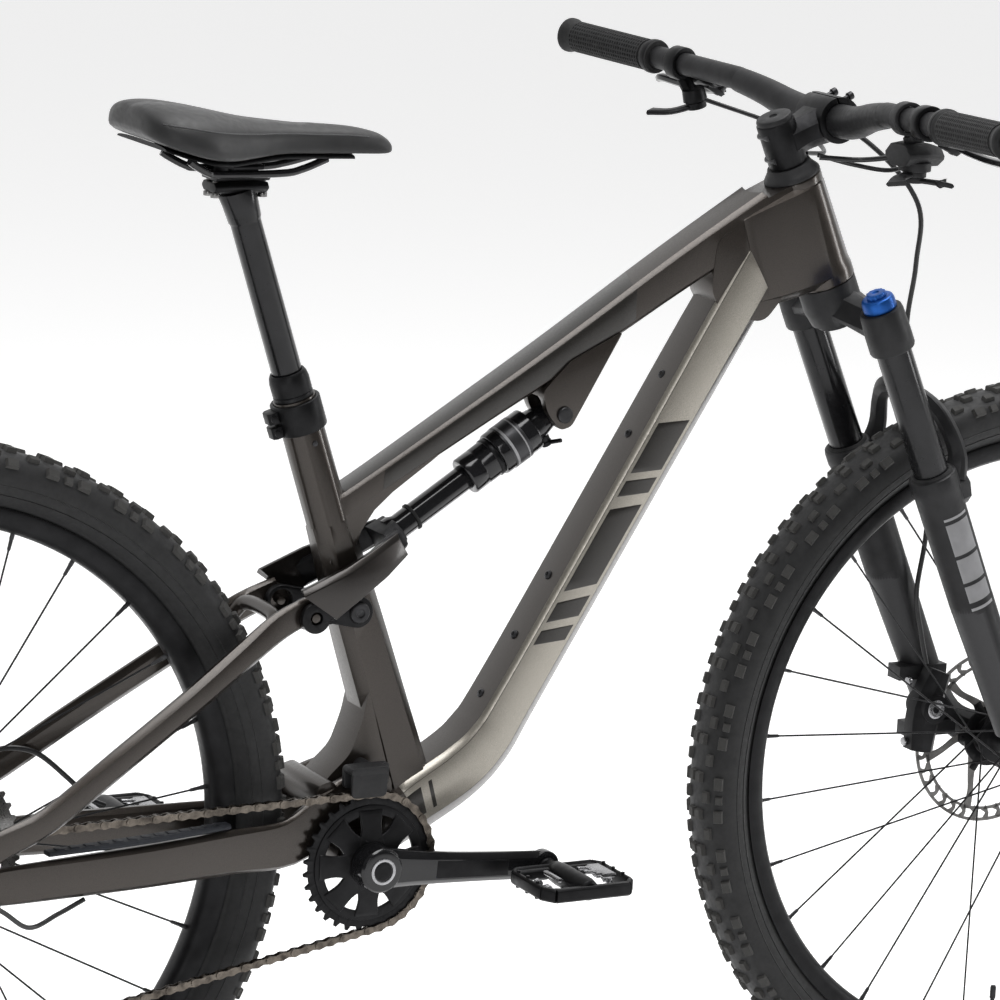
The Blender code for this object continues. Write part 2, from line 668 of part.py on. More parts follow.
def control_solids(with_thumb_pod):
    """Master cylinder with its bar clamp, for the left; the pod carries a thumb lever."""
    cylinder_from = bar_at(188) + LEVER_DIR * 27 + LEVER_UP * 3
    cylinder_to = bar_at(250) + LEVER_DIR * 31 + LEVER_UP * 2
    solids = [sleeve(bar_at(210), bar_at(226), 11.4, 16.4),
              beam([bar_at(218) + LEVER_DIR * 13.5, bar_at(218) + LEVER_DIR * 24], [(13, 16, 3)] * 2),
              rod(cylinder_from, cylinder_to, 9.5, 8.0),
              beam([bar_at(206) + LEVER_DIR * 30, bar_at(206) + LEVER_DIR * 50], [(15, 17, 3), (13, 15, 3)])]
    slot_centre = brake_pivot()
    cuts = [rod(slot_centre - LEVER_UP * 3.4, slot_centre + LEVER_UP * 3.4, 9.0),
            beam([slot_centre, slot_centre + LEVER_DIR * 20], [(40, 6.8, 0.5)] * 2)]
    if with_thumb_pod:
        solids += [beam([bar_at(218) + UNDER_DIR * 16, bar_at(210) + UNDER_DIR * 30], [(12, 14, 3)] * 2),
                   rod(bar_at(206) + UNDER_DIR * 24, bar_at(206) + UNDER_DIR * 36, 11.0, 12.0)]
    return solids, cuts


def lever_blade():
    """Left brake lever: a bent blade from its pivot out in front of the grip."""
    pivot = brake_pivot()
    path = [pivot + LEVER_DIR * 4, bar_at(222) + LEVER_DIR * 56, bar_at(250) + LEVER_DIR * 62,
            bar_at(284) + LEVER_DIR * 62, bar_at(308) + LEVER_DIR * 59, bar_at(322) + LEVER_DIR * 66]
    blade = beam(path, [(5.4, 9, 2), (6.0, 10, 2), (7, 10, 2), (8, 11, 2), (8, 11, 2), (8, 9, 2)],
                 side=LEVER_UP)
    boss = rod(pivot - LEVER_UP * 3.0, pivot + LEVER_UP * 3.0, 6.5)
    return [blade, boss]


def build_controls():
    BODY_PIVOTS["brake_lever_l"] = brake_pivot()
    BODY_PIVOTS["brake_lever_r"] = MIRROR_Y @ brake_pivot()
    thumb = bar_at(206) + UNDER_DIR * 37
    BODY_PIVOTS["dropper_lever"] = thumb
    shifter = bar_at(178) + UNDER_DIR * 34
    BODY_PIVOTS["shift_thumb"] = MIRROR_Y @ (shifter + Vector((0, 0, -15)))
    BODY_PIVOTS["shift_trigger"] = MIRROR_Y @ (shifter + Vector((0, 0, -22)))

    solids, cuts = control_solids(True)
    piece("brake_body_left", "steering", "black_alloy", solids, cuts)
    solids, cuts = control_solids(False)
    piece("brake_body_right", "steering", "black_alloy", [mirrored(s) for s in solids],
          [mirrored(c) for c in cuts])
    piece("brake_lever_left", "brake_lever_l", "black_alloy", lever_blade())
    piece("brake_lever_right", "brake_lever_r", "black_alloy", [mirrored(s) for s in lever_blade()])

    paddle = [rod(thumb + UNDER_DIR * 0.3, thumb + UNDER_DIR * 7, 10.0),
              beam([thumb + UNDER_DIR * 4, thumb + UNDER_DIR * 4 + THUMB_DIR * 24 + AXIS_Y * 8,
                    thumb + UNDER_DIR * 2 + THUMB_DIR * 38 + AXIS_Y * 26],
                   [(12, 5, 1.5), (12, 5, 1.5), (20, 5, 2)])]
    piece("dropper_lever", "dropper_lever", "black_alloy", paddle)

    pod = [sleeve(bar_at(168), bar_at(182), 11.6, 15.6),
           beam([bar_at(176) + UNDER_DIR * 14.5, shifter + Vector((0, 0, 8))], [(14, 16, 3)] * 2),
           beam([shifter + Vector((-20, 0, 0)), shifter + Vector((24, -4, -2))], [(38, 22, 7), (30, 18, 6)]),
           rod(shifter + Vector((0, 0, -6)), shifter + Vector((0, 0, -14.5)), 15.0)]
    piece("shifter_body", "steering", "black_plastic", [mirrored(s) for s in pod])
    centre = shifter + Vector((0, 0, -15))
    thumb_lever = [rod(centre + Vector((0, 0, 0.2)), centre - Vector((0, 0, 5)), 11.0),
                   beam([centre + Vector((-4, 0, -2.5)), centre + Vector((-26, 14, -4)),
                         centre + Vector((-40, 32, -6))],
                        [(12, 4.6, 1.5), (13, 4.6, 1.5), (20, 4.6, 1.5)])]
    piece("shift_thumb_lever", "shift_thumb", "black_plastic", [mirrored(s) for s in thumb_lever])
    centre = shifter + Vector((0, 0, -22))
    trigger = [rod(centre + Vector((0, 0, 1.6)), centre - Vector((0, 0, 3.4)), 9.0),
               beam([centre + Vector((2, 2, -1)), centre + Vector((14, 26, -1)), centre + Vector((4, 46, 1))],
                    [(11, 4.4, 1.5), (11, 4.4, 1.5), (16, 4.4, 1.5)])]
    piece("shift_trigger", "shift_trigger", "black_plastic", [mirrored(s) for s in trigger])


def build_hoses():
    left_exit = bar_at(186.4) + LEVER_DIR * 27 + LEVER_UP * 3
    right_exit = MIRROR_Y @ left_exit
    front_stop = Vector((1104, 42, 452))
    hose("front_brake_hose", "steering",
         [left_exit, (946, 120, 1010), (1000, 60, 976), (1036, 16, 922), (1048, 10, 860), (1056, 24, 790),
          (1078, 44, 715), (1096, 50, 640), (1097, 50, 580), (1090, 48, 525), (1098, 46, 482),
          front_stop], 2.5)
    hose("rear_brake_hose", "steering",
         [right_exit, (950, -110, 1002), (962, -66, 982), (940, -32, 972), steer(664, 26, -14)], 2.5)
    hose("shift_housing", "steering",
         [MIRROR_Y @ (bar_at(150) + UNDER_DIR * 34 + Vector((4, 0, 0))), (948, -108, 984), (952, -60, 966),
          (934, -24, 966), steer(664, 29, -6)], 2.2)
    hose("dropper_housing", "steering",
         [bar_at(190) + UNDER_DIR * 33, (934, 140, 986), (950, 80, 976), (936, 34, 970),
          steer(664, 27, 11)], 2.2)


# ---------------------------------------------------------------- wheels

TYRE_OUTER = [(309.6, 12.6), (320.5, 14.1), (334, 28.5), (358, 31), (370.5, 14), (373, 6)]
TYRE_INNER = [(313, 9.0), (323, 12.5), (345, 27), (366.5, 13)]
RIM_PROFILE = [(298.2, 5.5), (303, 14), (319.4, 17.2), (319.4, 14.6), (304.5, 12.6)]


def both_sides(half):
    return half + [(r, -y) for r, y in reversed(half)]


def tyre_loop():
    return both_sides(TYRE_OUTER) + list(reversed(both_sides(TYRE_INNER)))


def spoke_set(centre, flange_y, flange_r, count, side):
    """Crossed spokes of one side of a wheel, from flange to just short of the rim."""
    spokes = []
    for i in range(count):
        rim_angle = 2 * math.pi * (i + (0.25 if side > 0 else 0.75)) / count
        lead = 1.0 if i % 2 else -1.0
        hub_angle = rim_angle + lead * math.radians(68)
        y = flange_y + side * (1.0 if lead > 0 else -1.0)
        inner = centre + Vector((math.cos(hub_angle) * flange_r, y, math.sin(hub_angle) * flange_r))
        outer_r = RIM_INNER_R - 2.6
        outer = centre + Vector((math.cos(rim_angle) * outer_r, side * 2.5, math.sin(rim_angle) * outer_r))
        spokes.append(rod(inner, outer, 1.2, sides=3))
    return spokes


def joined(solids):
    """Separate solids that don't touch, in one mesh."""
    whole = bmesh.new()
    for bm in solids:
        mesh = bpy.data.meshes.new("part")
        bm.to_mesh(mesh)
        bm.free()
        whole.from_mesh(mesh)
        bpy.data.meshes.remove(mesh)
    return whole


def rotor_solids(centre, y):
    band = turned([(76, y - 0.9), (90, y - 0.9), (90, y + 0.9), (76, y + 0.9)], centre, AXIS_Y)
    carrier = turned([(21.5, y - 1.6), (31, y - 1.6), (31, y + 1.6), (21.5, y + 1.6)], centre, AXIS_Y)
    arm = beam([centre + Vector((29, y, -4)), centre + Vector((54, y, 8)), centre + Vector((78, y, 16))],
               [(1.5, 10, 0), (1.5, 7, 0), (1.5, 9, 0)])
    return [band, carrier] + spun(arm, centre, 6)


def build_wheel(prefix, centre, body, half_width, bore, flanges, rotor_y):
    piece(prefix + "_tyre", body, "tyre_black", [turned(tyre_loop(), centre, AXIS_Y)], (), 50.0)
    piece(prefix + "_rim", body, "black_alloy", [turned(both_sides(RIM_PROFILE), centre, AXIS_Y)])
    left, right = flanges
    shell = [(bore, half_width[0]), (10.5, half_width[0]), (12.5, right - 6), (27, right - 2.2),
             (27, right + 2.2), (13, right + 9), (13, left - 9), (25, left - 2.2), (25, left + 2.2),
             (20.5, left + 5), (20.5, rotor_y + 4), (10.5, rotor_y + 5), (10.5, half_width[1]),
             (bore, half_width[1])]
    hub = turned(shell, centre, AXIS_Y, 12)
    spokes = joined(spoke_set(centre, left, 22.0, 14, 1.0) + spoke_set(centre, right, 22.5, 14, -1.0))
    piece(prefix + "_hub", body, "black_alloy", [hub, spokes])
    piece(prefix + "_rotor", body, "steel", rotor_solids(centre, rotor_y))


def build_wheels():
    end = HUB_FRONT / 2 - GAP
    build_wheel("front", FRONT_AXLE, "front_wheel", (-end, end), 7.8, (24.0, -30.0), 39.6)
    build_wheel("rear", REAR_AXLE, "rear_wheel", (-26.0, HUB_REAR / 2 - GAP), 6.8, (38.0, -18.0), 58.8)
    radii = [103, 80, 61, 45, 32, COG_R - 0.6]
    pitch, cog_start = 5.6, -27.0
    steps = [(13.0, -26.6), (30.0, -26.6)]
    for i, r in enumerate(radii):
        y = cog_start - i * pitch
        steps += [(r, y - 0.1), (r, y - pitch)]
    steps[-2] = (COG_R - 0.6, -57.5)
    steps[-3] = (32, -57.4)
    steps[-1] = (COG_R - 0.6, -63.6)
    steps += [(16.0, -64.0), (16.0, -73.6), (6.8, -73.6), (6.8, -61.0), (13.0, -61.0)]
    piece("cassette", "cassette_body", "steel", [turned(steps, REAR_AXLE, AXIS_Y, 20)])


# ---------------------------------------------------------------- rear end

def build_swingarm():
    arm_path = [(42, 68.4, 352), (70, 68.4, 354), (130, 67, 356), (210, 60, 357), (300, 48, 358),
                (362, 41.8, 360), (404, 37, 384), (430, 31.5, 398), (447, 31.0, 402)]
    arm_sizes = [(7.4, 26, 2.5), (7.6, 34, 2.5), (11, 37, 4), (14, 39, 4), (11, 42, 4),
                 (9.4, 44, 3), (10, 44, 3), (11, 38, 3), (11, 30, 3)]
    arm = beam(arm_path, arm_sizes)
    solids = both(arm)
    solids += both(across(MAIN_PIVOT, 25.0, 36.6, 20.0)) + both(across(HORST_PIVOT, 64.7, 72.1, 15.0))
    solids += [plate([(386, 384), (404, 378), (411, 384), (413, 402), (404, 414), (390, 410)], -40, 40),
               across(MAIN_PIVOT, -34, 34, 7.5)]
    cuts = both(across(HORST_PIVOT, 60, 76, 5.3))
    piece("chainstay", "swingarm", "frame_paint", solids, cuts, 24.0)
    guard_path = [(112, -67.6, 380.2), (210, -60, 381.8), (296, -48.8, 383.6)]
    piece("chainstay_guard", "swingarm", "rubber_black",
          [beam(guard_path, [(15, 6, 2), (17, 7, 2), (13, 7, 2)])],
          [beam([Vector((x, -y, z)) for x, y, z in arm_path],
                [(w + 0.7, d + 0.7, c) for w, d, c in arm_sizes])])


def build_seatstays():
    stay_path = [(20, 78.3, 368), (60, 78.0, 392), (110, 75, 413), (180, 67, 458.5), (250, 57.5, 503.5),
                 (310, 46.5, 542.5), (345, 40.0, 564), (378, 37.2, 578)]
    stay_sizes = [(7.2, 30, 3), (7.4, 27, 3), (11, 24, 4), (14, 24, 4.5), (14, 24, 4.5),
                  (12, 25, 4), (9.0, 26, 3), (7.4, 24, 2.5)]
    stay = beam(stay_path, stay_sizes)
    dropout = plate([(-16, 380), (-14, 362), (-4, 352), (14, 346), (30, 337), (46, 336), (57, 346), (58, 360),
                     (60, 386), (34, 392), (12, 391), (-8, 390)], 74.4, 82.2)
    solids = both(stay) + both(dropout)
    solids += both(across(STAY_PIVOT, 33.4, 41.0, 13.5))
    solids += both(across(STAY_PIVOT, 24.0, 48.6, 4.0))
    solids += both(across(HORST_PIVOT, 64.9, 80.0, 5.0))
    solids += both(across(HORST_PIVOT, 81.0, 84.0, 9.0))
    solids += [across(REAR_AXLE, -85.0, 85.0, 6.0), across(REAR_AXLE, 82.0, 87.0, 10.0)]
    bridge = [pipe([(338, -46, 560), (343, -30, 571), (343, 30, 571), (338, 46, 560)], 8.0)]
    hanger = plate([(-8, 360), (-6, 338), (4, 326), (16, 326), (22, 342), (22, 360)], -82.2, -75.4)
    piece("seatstay", "seatstays", "frame_paint", solids + bridge + [hanger], (), 24.0)

    y = 58.8
    caliper = [beam([(38, y + 1, 430), (62, y + 1, 432), (90, y + 1, 424)],
                    [(24, 24, 6), (28, 30, 7), (24, 22, 6)]),
               across((62, 0, 430), y - 17, y + 14.6, 14.0)]
    slot = turned([(60, y - 2.2), (96, y - 2.2), (96, y + 2.2), (60, y + 2.2)], REAR_AXLE, AXIS_Y)
    piece("rear_caliper", "seatstays", "black_alloy", caliper, [slot])


def build_derailleur():
    mount = Vector((8, -82.5, 334))
    knuckle = mount + Vector((0, -9, 0))
    body = [across(mount, -82.5, -98, 11.0),
            beam([knuckle + Vector((2, -2, -2)), (22, -90, 306), (30, -84, 288)],
                 [(14, 22, 4), (18, 26, 5), (18, 24, 5)]),
            across(GUIDE_PULLEY, -71.6, -92, 17.0),
            beam([knuckle + Vector((-4, 0, 4)), (-14, -94, 344)], [(8, 10, 2), (8, 8, 2)])]
    piece("derailleur_body", "seatstays", "black_alloy", body)
    links = []
    for y0, y1 in ((CHAIN_COG_Y - 9.0, CHAIN_COG_Y - 6.6), (CHAIN_COG_Y + 6.6, CHAIN_COG_Y + 9.0)):
        links.append(across(GUIDE_PULLEY, y0, y1, 13.0))
        links.append(beam([Vector((GUIDE_PULLEY.x, (y0 + y1) / 2, GUIDE_PULLEY.z)),
                           Vector((TENSION_PULLEY.x, (y0 + y1) / 2, TENSION_PULLEY.z))],
                          [(2.0, 17, 0.4)] * 2))
        links.append(across(TENSION_PULLEY, y0, y1, 11.0))
    pins = [across(point, CHAIN_COG_Y - 7.4, CHAIN_COG_Y + 7.4, 3.0)
            for point in (GUIDE_PULLEY, TENSION_PULLEY)]
    piece("derailleur_cage", "cage", "black_alloy", links + pins)
    for name, centre in (("guide_pulley", GUIDE_PULLEY), ("tension_pulley", TENSION_PULLEY)):
        hub_loop = [(3.3, -3.2), (7.5, -3.2), (9, -1.3), (PULLEY_R - 3.4, -1.3), (PULLEY_R - 3.4, 1.3),
                    (9, 1.3), (7.5, 3.2), (3.3, 3.2)]
        piece(name, name, "black_plastic", [turned(hub_loop, centre, AXIS_Y)])


def build_linkage():
    pad_r = 14.5
    link_plate = beam([(ROCKER_PIVOT.x, 27.2, ROCKER_PIVOT.z), (STAY_PIVOT.x, 27.2, STAY_PIVOT.z)],
                      [(7.2, 24, 2)] * 2)
    solids = both(link_plate) + both(across(ROCKER_PIVOT, 23.3, 31.1, pad_r))
    solids += both(across(STAY_PIVOT, 23.3, 31.1, pad_r)) + both(across(ROCKER_PIVOT, 30.5, 33.2, 10.0))
    solids += [across(ROCKER_PIVOT, -28, 28, 7.4)]
    cuts = both(across(STAY_PIVOT, 20, 40, 10.8))
    piece("rocker_link", "rocker", "black_alloy", solids, cuts)

    head = [across(SHOCK_EYE, -12.4, 12.4, 11.0), rod(shock_at(6), shock_at(30), 12.0, 16.0),
            rod(shock_at(28), shock_at(72), 21.5), rod(shock_at(71), shock_at(107), 18.5)]
    side_port = rod(shock_at(20), shock_at(20) + Vector((10, 0, -17)), 6.0, 5.0)
    piece("shock_can", "shock_body", "black_gloss", head + [side_port],
          [across(SHOCK_EYE, -20, 20, 5.3), rod(shock_at(40), shock_at(120), 12.3)])
    lever_foot = shock_at(20) + Vector((10, 0, -17))
    lever_axis = Vector((10, 0, -17)).normalized()
    BODY_PIVOTS["shock_switch"] = lever_foot
    piece("shock_lever", "shock_switch", "blue_alloy",
          [rod(lever_foot + lever_axis * 0.4, lever_foot + lever_axis * 5, 5.5),
           beam([lever_foot + lever_axis * 2.7, lever_foot + lever_axis * 2.7 + Vector((8, -14, 4.7))],
                [(4, 5, 1), (4, 5, 1)], side=lever_axis)])
    eye = shock_at(SHOCK_LENGTH)
    rear_side, front_side = 46.4, 25.5
    reach = SHOCK_DIR * -1
    yoke_arm = beam([STAY_PIVOT + AXIS_Y * rear_side, STAY_PIVOT + reach * 27 + AXIS_Y * rear_side,
                     STAY_PIVOT + reach * 58 + AXIS_Y * 36, eye + AXIS_Y * front_side,
                     shock_at(SHOCK_LENGTH - 15) + AXIS_Y * (front_side - 5)],
                    [(6.2, 22, 2), (6.2, 26, 2), (7, 26, 2), (8, 24, 2), (10, 20, 2)])
    yoke = both(yoke_arm) + both(across(STAY_PIVOT, 43.3, 49.5, 12.0))
    yoke += [beam([shock_at(SHOCK_LENGTH - 2), shock_at(SHOCK_LENGTH - 20)], [(48, 24, 5), (40, 26, 6)])]
    shaft = [rod(shock_at(94), shock_at(SHOCK_LENGTH - 12), 12.0)]
    cuts = both(across(STAY_PIVOT, 42, 52, 6.2))
    piece("shock_shaft_yoke", "shock_shaft", "black_alloy", shaft + yoke, cuts)


# ---------------------------------------------------------------- drivetrain

def crank_arm(side):
    """One crank arm: side -1 is the drive side pointing forward, +1 the other pointing back."""
    tip_x, tip_z = (PEDAL_X, PEDAL_Z) if side < 0 else (2 * BB.x - PEDAL_X, 2 * BB.z - PEDAL_Z)
    inner, outer = side * 61.5, side * 84.0
    along = Vector((tip_x - BB.x, 0, tip_z - BB.z)).normalized()
    middle = BB + along * 90 + AXIS_Y * (side * 76.0)
    root = BB + AXIS_Y * (side * 73.0)
    tip = Vector((tip_x, side * 79.0, tip_z))
    return [across(BB, inner, outer, 21.0),
            beam([root + along * 8, middle, tip - along * 4], [(17, 36, 5), (14, 28, 4), (12, 26, 4)]),
            across(tip, side * 73.0, side * 85.0, 14.0)]


def build_crankset():
    ring_y = CHAINLINE
    spindle = across(BB, -60.5, 70, 12.0)
    piece("crank_left", "crankset", "black_alloy", crank_arm(1.0) + [spindle])
    spider = [across(BB, -62.5, -56.6, 22.0)]
    arm = beam([BB + Vector((12, -58.3, 0)), BB + Vector((47, -58.0, 0))], [(3.4, 16, 1), (3.4, 12, 1)])
    cut = [across(BB, -50, -61.0, 12.4)]
    piece("crank_right", "crankset", "black_alloy", crank_arm(-1.0) + spider + spun(arm, BB, 4), cut)
    ring = turned([(41, ring_y - 4.2), (50, ring_y - 4.2), (50, ring_y - 1.6), (61.0, ring_y - 1.6),
                   (61.0, ring_y + 1.6), (41, ring_y + 1.6)], BB, AXIS_Y, 36)
    piece("chainring", "crankset", "black_alloy", [ring])


def chain_route():
    """The chain's centre line, from the top of the ring forward and round."""
    ring_r, cog_r, pulley_r = 65.2, COG_R + 3.6, PULLEY_R + 0.6
    route = []

    def arc(centre, radius, start, end, y, steps):
        for i in range(steps + 1):
            a = math.radians(start + (end - start) * i / steps)
            route.append(Vector((centre[0] + radius * math.cos(a), y, centre[2] + radius * math.sin(a))))

    def straight(target, count):
        begin = route[-1].copy()
        for i in range(1, count):
            route.append(begin + (target - begin) * (i / count))

    arc(BB, ring_r, 91, -80, CHAINLINE, 14)
    tension_from = Vector((TENSION_PULLEY.x + pulley_r * math.cos(math.radians(-80)), CHAIN_COG_Y,
                           TENSION_PULLEY.z + pulley_r * math.sin(math.radians(-80))))
    straight(tension_from, 12)
    arc(TENSION_PULLEY, pulley_r, -80, -222, CHAIN_COG_Y, 8)
    arc(GUIDE_PULLEY, pulley_r, -42, 92, CHAIN_COG_Y, 8)
    arc(REAR_AXLE, cog_r, -100, -269, CHAIN_COG_Y, 8)
    straight(Vector((BB.x - 1.1, CHAINLINE, BB.z + ring_r)), 14)
    return route


def build_chain():
    route = chain_route()
    bm = bmesh.new()
    rings = []
    count = len(route)
    for i, point in enumerate(route):
        tangent = (route[(i + 1) % count] - route[i - 1]).normalized()
        side = (AXIS_Y - tangent * AXIS_Y.dot(tangent)).normalized()
        up = tangent.cross(side)
        rings.append([bm.verts.new(point + side * a + up * b) for a, b in
                      ((2.3, -3.6), (2.3, 3.6), (-2.3, 3.6), (-2.3, -3.6))])
    for i in range(count):
        low, high = rings[i], rings[(i + 1) % count]
        for a in range(4):
            b = (a + 1) % 4
            bm.faces.new((low[a], low[b], high[b], high[a]))
    piece("chain", "front_frame", "chain_steel", [finish_mesh(bm)], (), 60.0)


def build_pedals():
    for name, body, side in (("pedal_right", "pedal_r", -1.0), ("pedal_left", "pedal_l", 1.0)):
        centre = BODY_PIVOTS[body]
        middle = centre + AXIS_Y * (side * 48)
        rim = [box(middle + Vector((x, side * 4, 0)), (7, 74, 15)) for x in (-43, 43)]
        ends = [box(middle + Vector((0, side * y, 0)), (88, 7, 13)) for y in (-30, 38)]
        core = [across(middle, middle.y - 34, middle.y + 36, 9.0),
                box(middle + Vector((0, side * 4, 0)), (52, 40, 13)),
                box(middle + Vector((30, side * 4, 5)), (26, 30, 5)),
                box(middle + Vector((-30, side * 4, -5)), (26, 30, 5)),
                rod(centre + AXIS_Y * (side * 0.4), middle, 8.0, 7.0)]
        piece(name, body, "black_alloy", rim + ends + core)


def build_rear_lines():
    hose("rear_hose_tail", "swingarm",
         [(222, 58, 379.8), (206, 60, 388), (186, 60, 408), (152, 55, 436), (122, 56, 443), (104, 58, 436)],
         2.5)
    hose("derailleur_housing", "swingarm",
         [(150, -66, 334.2), (124, -69, 324), (92, -80, 318), (60, -92, 340), (20, -100, 362),
          (-14, -98, 360), (-19, -94, 349.5)], 2.2)


def main():
    clear_scene()
    build_frame()
    build_frame_fittings()
    build_saddle()
    build_fork()
    build_stem()
    build_controls()
    build_hoses()
    build_wheels()
    build_swingarm()
    build_seatstays()
    build_derailleur()
    build_linkage()
    build_crankset()
    build_chain()
    build_pedals()
    build_rear_lines()


main()
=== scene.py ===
"""Looks of the full-suspension mountain bike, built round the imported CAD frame.

Shapes are written in bike millimetres, as in the CAD: X forward from the rear axle, Y to the
rider's left, Z up from the ground.  Meshes are stored in metres in the row frame.
"""

import json
import math

import bmesh
import bpy
from mathutils import Matrix, Vector


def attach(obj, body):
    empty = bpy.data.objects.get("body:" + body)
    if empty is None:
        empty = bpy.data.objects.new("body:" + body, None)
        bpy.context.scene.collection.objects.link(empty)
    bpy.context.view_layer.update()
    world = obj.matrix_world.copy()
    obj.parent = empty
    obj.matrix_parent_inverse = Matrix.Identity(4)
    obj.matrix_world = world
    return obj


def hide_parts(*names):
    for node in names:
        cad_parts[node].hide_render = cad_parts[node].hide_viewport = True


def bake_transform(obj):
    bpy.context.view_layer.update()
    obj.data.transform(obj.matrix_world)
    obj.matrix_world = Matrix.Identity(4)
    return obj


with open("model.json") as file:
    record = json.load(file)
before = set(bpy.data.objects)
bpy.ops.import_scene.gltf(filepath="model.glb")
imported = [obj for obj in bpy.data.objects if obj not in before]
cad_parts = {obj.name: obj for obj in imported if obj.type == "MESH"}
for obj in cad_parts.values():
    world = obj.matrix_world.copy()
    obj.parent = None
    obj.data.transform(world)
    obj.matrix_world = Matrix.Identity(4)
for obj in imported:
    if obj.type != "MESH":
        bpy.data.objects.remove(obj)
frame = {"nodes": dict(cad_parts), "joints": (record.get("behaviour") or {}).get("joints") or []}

MM = 0.001
JOINTS = {joint["name"]: joint for joint in frame["joints"]}
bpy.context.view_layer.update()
REAR_X = JOINTS["rear_wheel_spin"]["pos_m"][0]
AXIS_Y = Vector((0.0, 1.0, 0.0))
MIRROR_Y = Matrix.Diagonal((1.0, -1.0, 1.0, 1.0))


def bike(point):
    """Row-frame metres to bike millimetres."""
    return Vector(((point[0] - REAR_X) / MM, point[1] / MM, point[2] / MM))


def pivot(name):
    return bike(JOINTS[name]["pos_m"])


def direction(name):
    return Vector(JOINTS[name]["axis"]).normalized()


REAR_AXLE = pivot("rear_wheel_spin")
FRONT_AXLE = pivot("front_wheel_spin")
BB = pivot("crank_spin")
MAIN_PIVOT = pivot("suspension")
HORST_PIVOT = pivot("seatstay_pivot")
ROCKER_PIVOT = pivot("rocker_pivot")
SHOCK_EYE = pivot("shock_eye")
SHOCK_DIR = -direction("shock_stroke")
SHOCK_LENGTH = 210.0
STAY_PIVOT = SHOCK_EYE + SHOCK_DIR * 310.36
GUIDE_PULLEY = pivot("guide_pulley_spin")
TENSION_PULLEY = pivot("tension_pulley_spin")
CHAIN_COG_Y = GUIDE_PULLEY.y
CHAINLINE = -52.0
STEER_UP = direction("steering_turn")
STEER_BASE = pivot("steering_turn") - STEER_UP * 545.0
STEER_FWD = Vector((STEER_UP.z, 0.0, -STEER_UP.x))
SEAT_UP = direction("seatpost_drop")
SEAT_BASE = Vector((BB.x + 76.6, 0.0, BB.z))
LEG_OFFSET, LEG_Y = 7.6, 75.0
BAR_CENTRE = Vector((915.0, 0.0, 1008.0))
BAR_END = Vector((852.7, 390.0, 1039.9))
PEDAL_R = pivot("pedal_right_spin")
PEDAL_L = pivot("pedal_left_spin")


def steer(along, forward=0.0, y=0.0):
    return STEER_BASE + STEER_UP * along + STEER_FWD * forward + AXIS_Y * y


def seat(along):
    return SEAT_BASE + SEAT_UP * along


def shock_at(distance):
    return SHOCK_EYE + SHOCK_DIR * distance


def leg(along, forward=0.0, side=1.0):
    return steer(along, LEG_OFFSET + forward, side * LEG_Y)


# ---------------------------------------------------------------- camera, floor and light

VIEW_YAW = math.radians(28.80)
VIEW_PITCH = math.radians(13.22)
VIEW_ROLL = math.radians(3.0)
VIEW_TARGET = Vector((567.0, 0.0, 567.9))
VIEW_DISTANCE = 4190.95


def make_camera():
    forward = Vector((math.sin(VIEW_YAW) * math.cos(VIEW_PITCH), math.cos(VIEW_YAW) * math.cos(VIEW_PITCH),
                      -math.sin(VIEW_PITCH)))
    level = Vector((math.cos(VIEW_YAW), -math.sin(VIEW_YAW), 0.0))
    above = level.cross(forward)
    right = level * math.cos(VIEW_ROLL) + above * math.sin(VIEW_ROLL)
    up = -level * math.sin(VIEW_ROLL) + above * math.cos(VIEW_ROLL)
    data = bpy.data.cameras.new("camera")
    data.sensor_width = 36.0
    data.lens = 162.54
    data.shift_x = 0.022
    data.shift_y = 0.0952
    data.clip_start, data.clip_end = 0.1, 60.0
    camera = bpy.data.objects.new("camera", data)
    place = (VIEW_TARGET - forward * VIEW_DISTANCE) * MM + Vector((REAR_X, 0.0, 0.0))
    camera.matrix_world = Matrix((
        (right.x, up.x, -forward.x, place.x), (right.y, up.y, -forward.y, place.y),
        (right.z, up.z, -forward.z, place.z), (0, 0, 0, 1)))
    bpy.context.scene.collection.objects.link(camera)
    bpy.context.scene.camera = camera


def area_light(name, place, aim, size, power, colour=(1.0, 1.0, 1.0)):
    data = bpy.data.lights.new(name, 'AREA')
    data.shape = 'RECTANGLE'
    data.size, data.size_y = size
    data.energy = power
    data.color = colour
    light = bpy.data.objects.new(name, data)
    light.location = place
    light.rotation_euler = (Vector(aim) - Vector(place)).to_track_quat('-Z', 'Y').to_euler()
    bpy.context.scene.collection.objects.link(light)


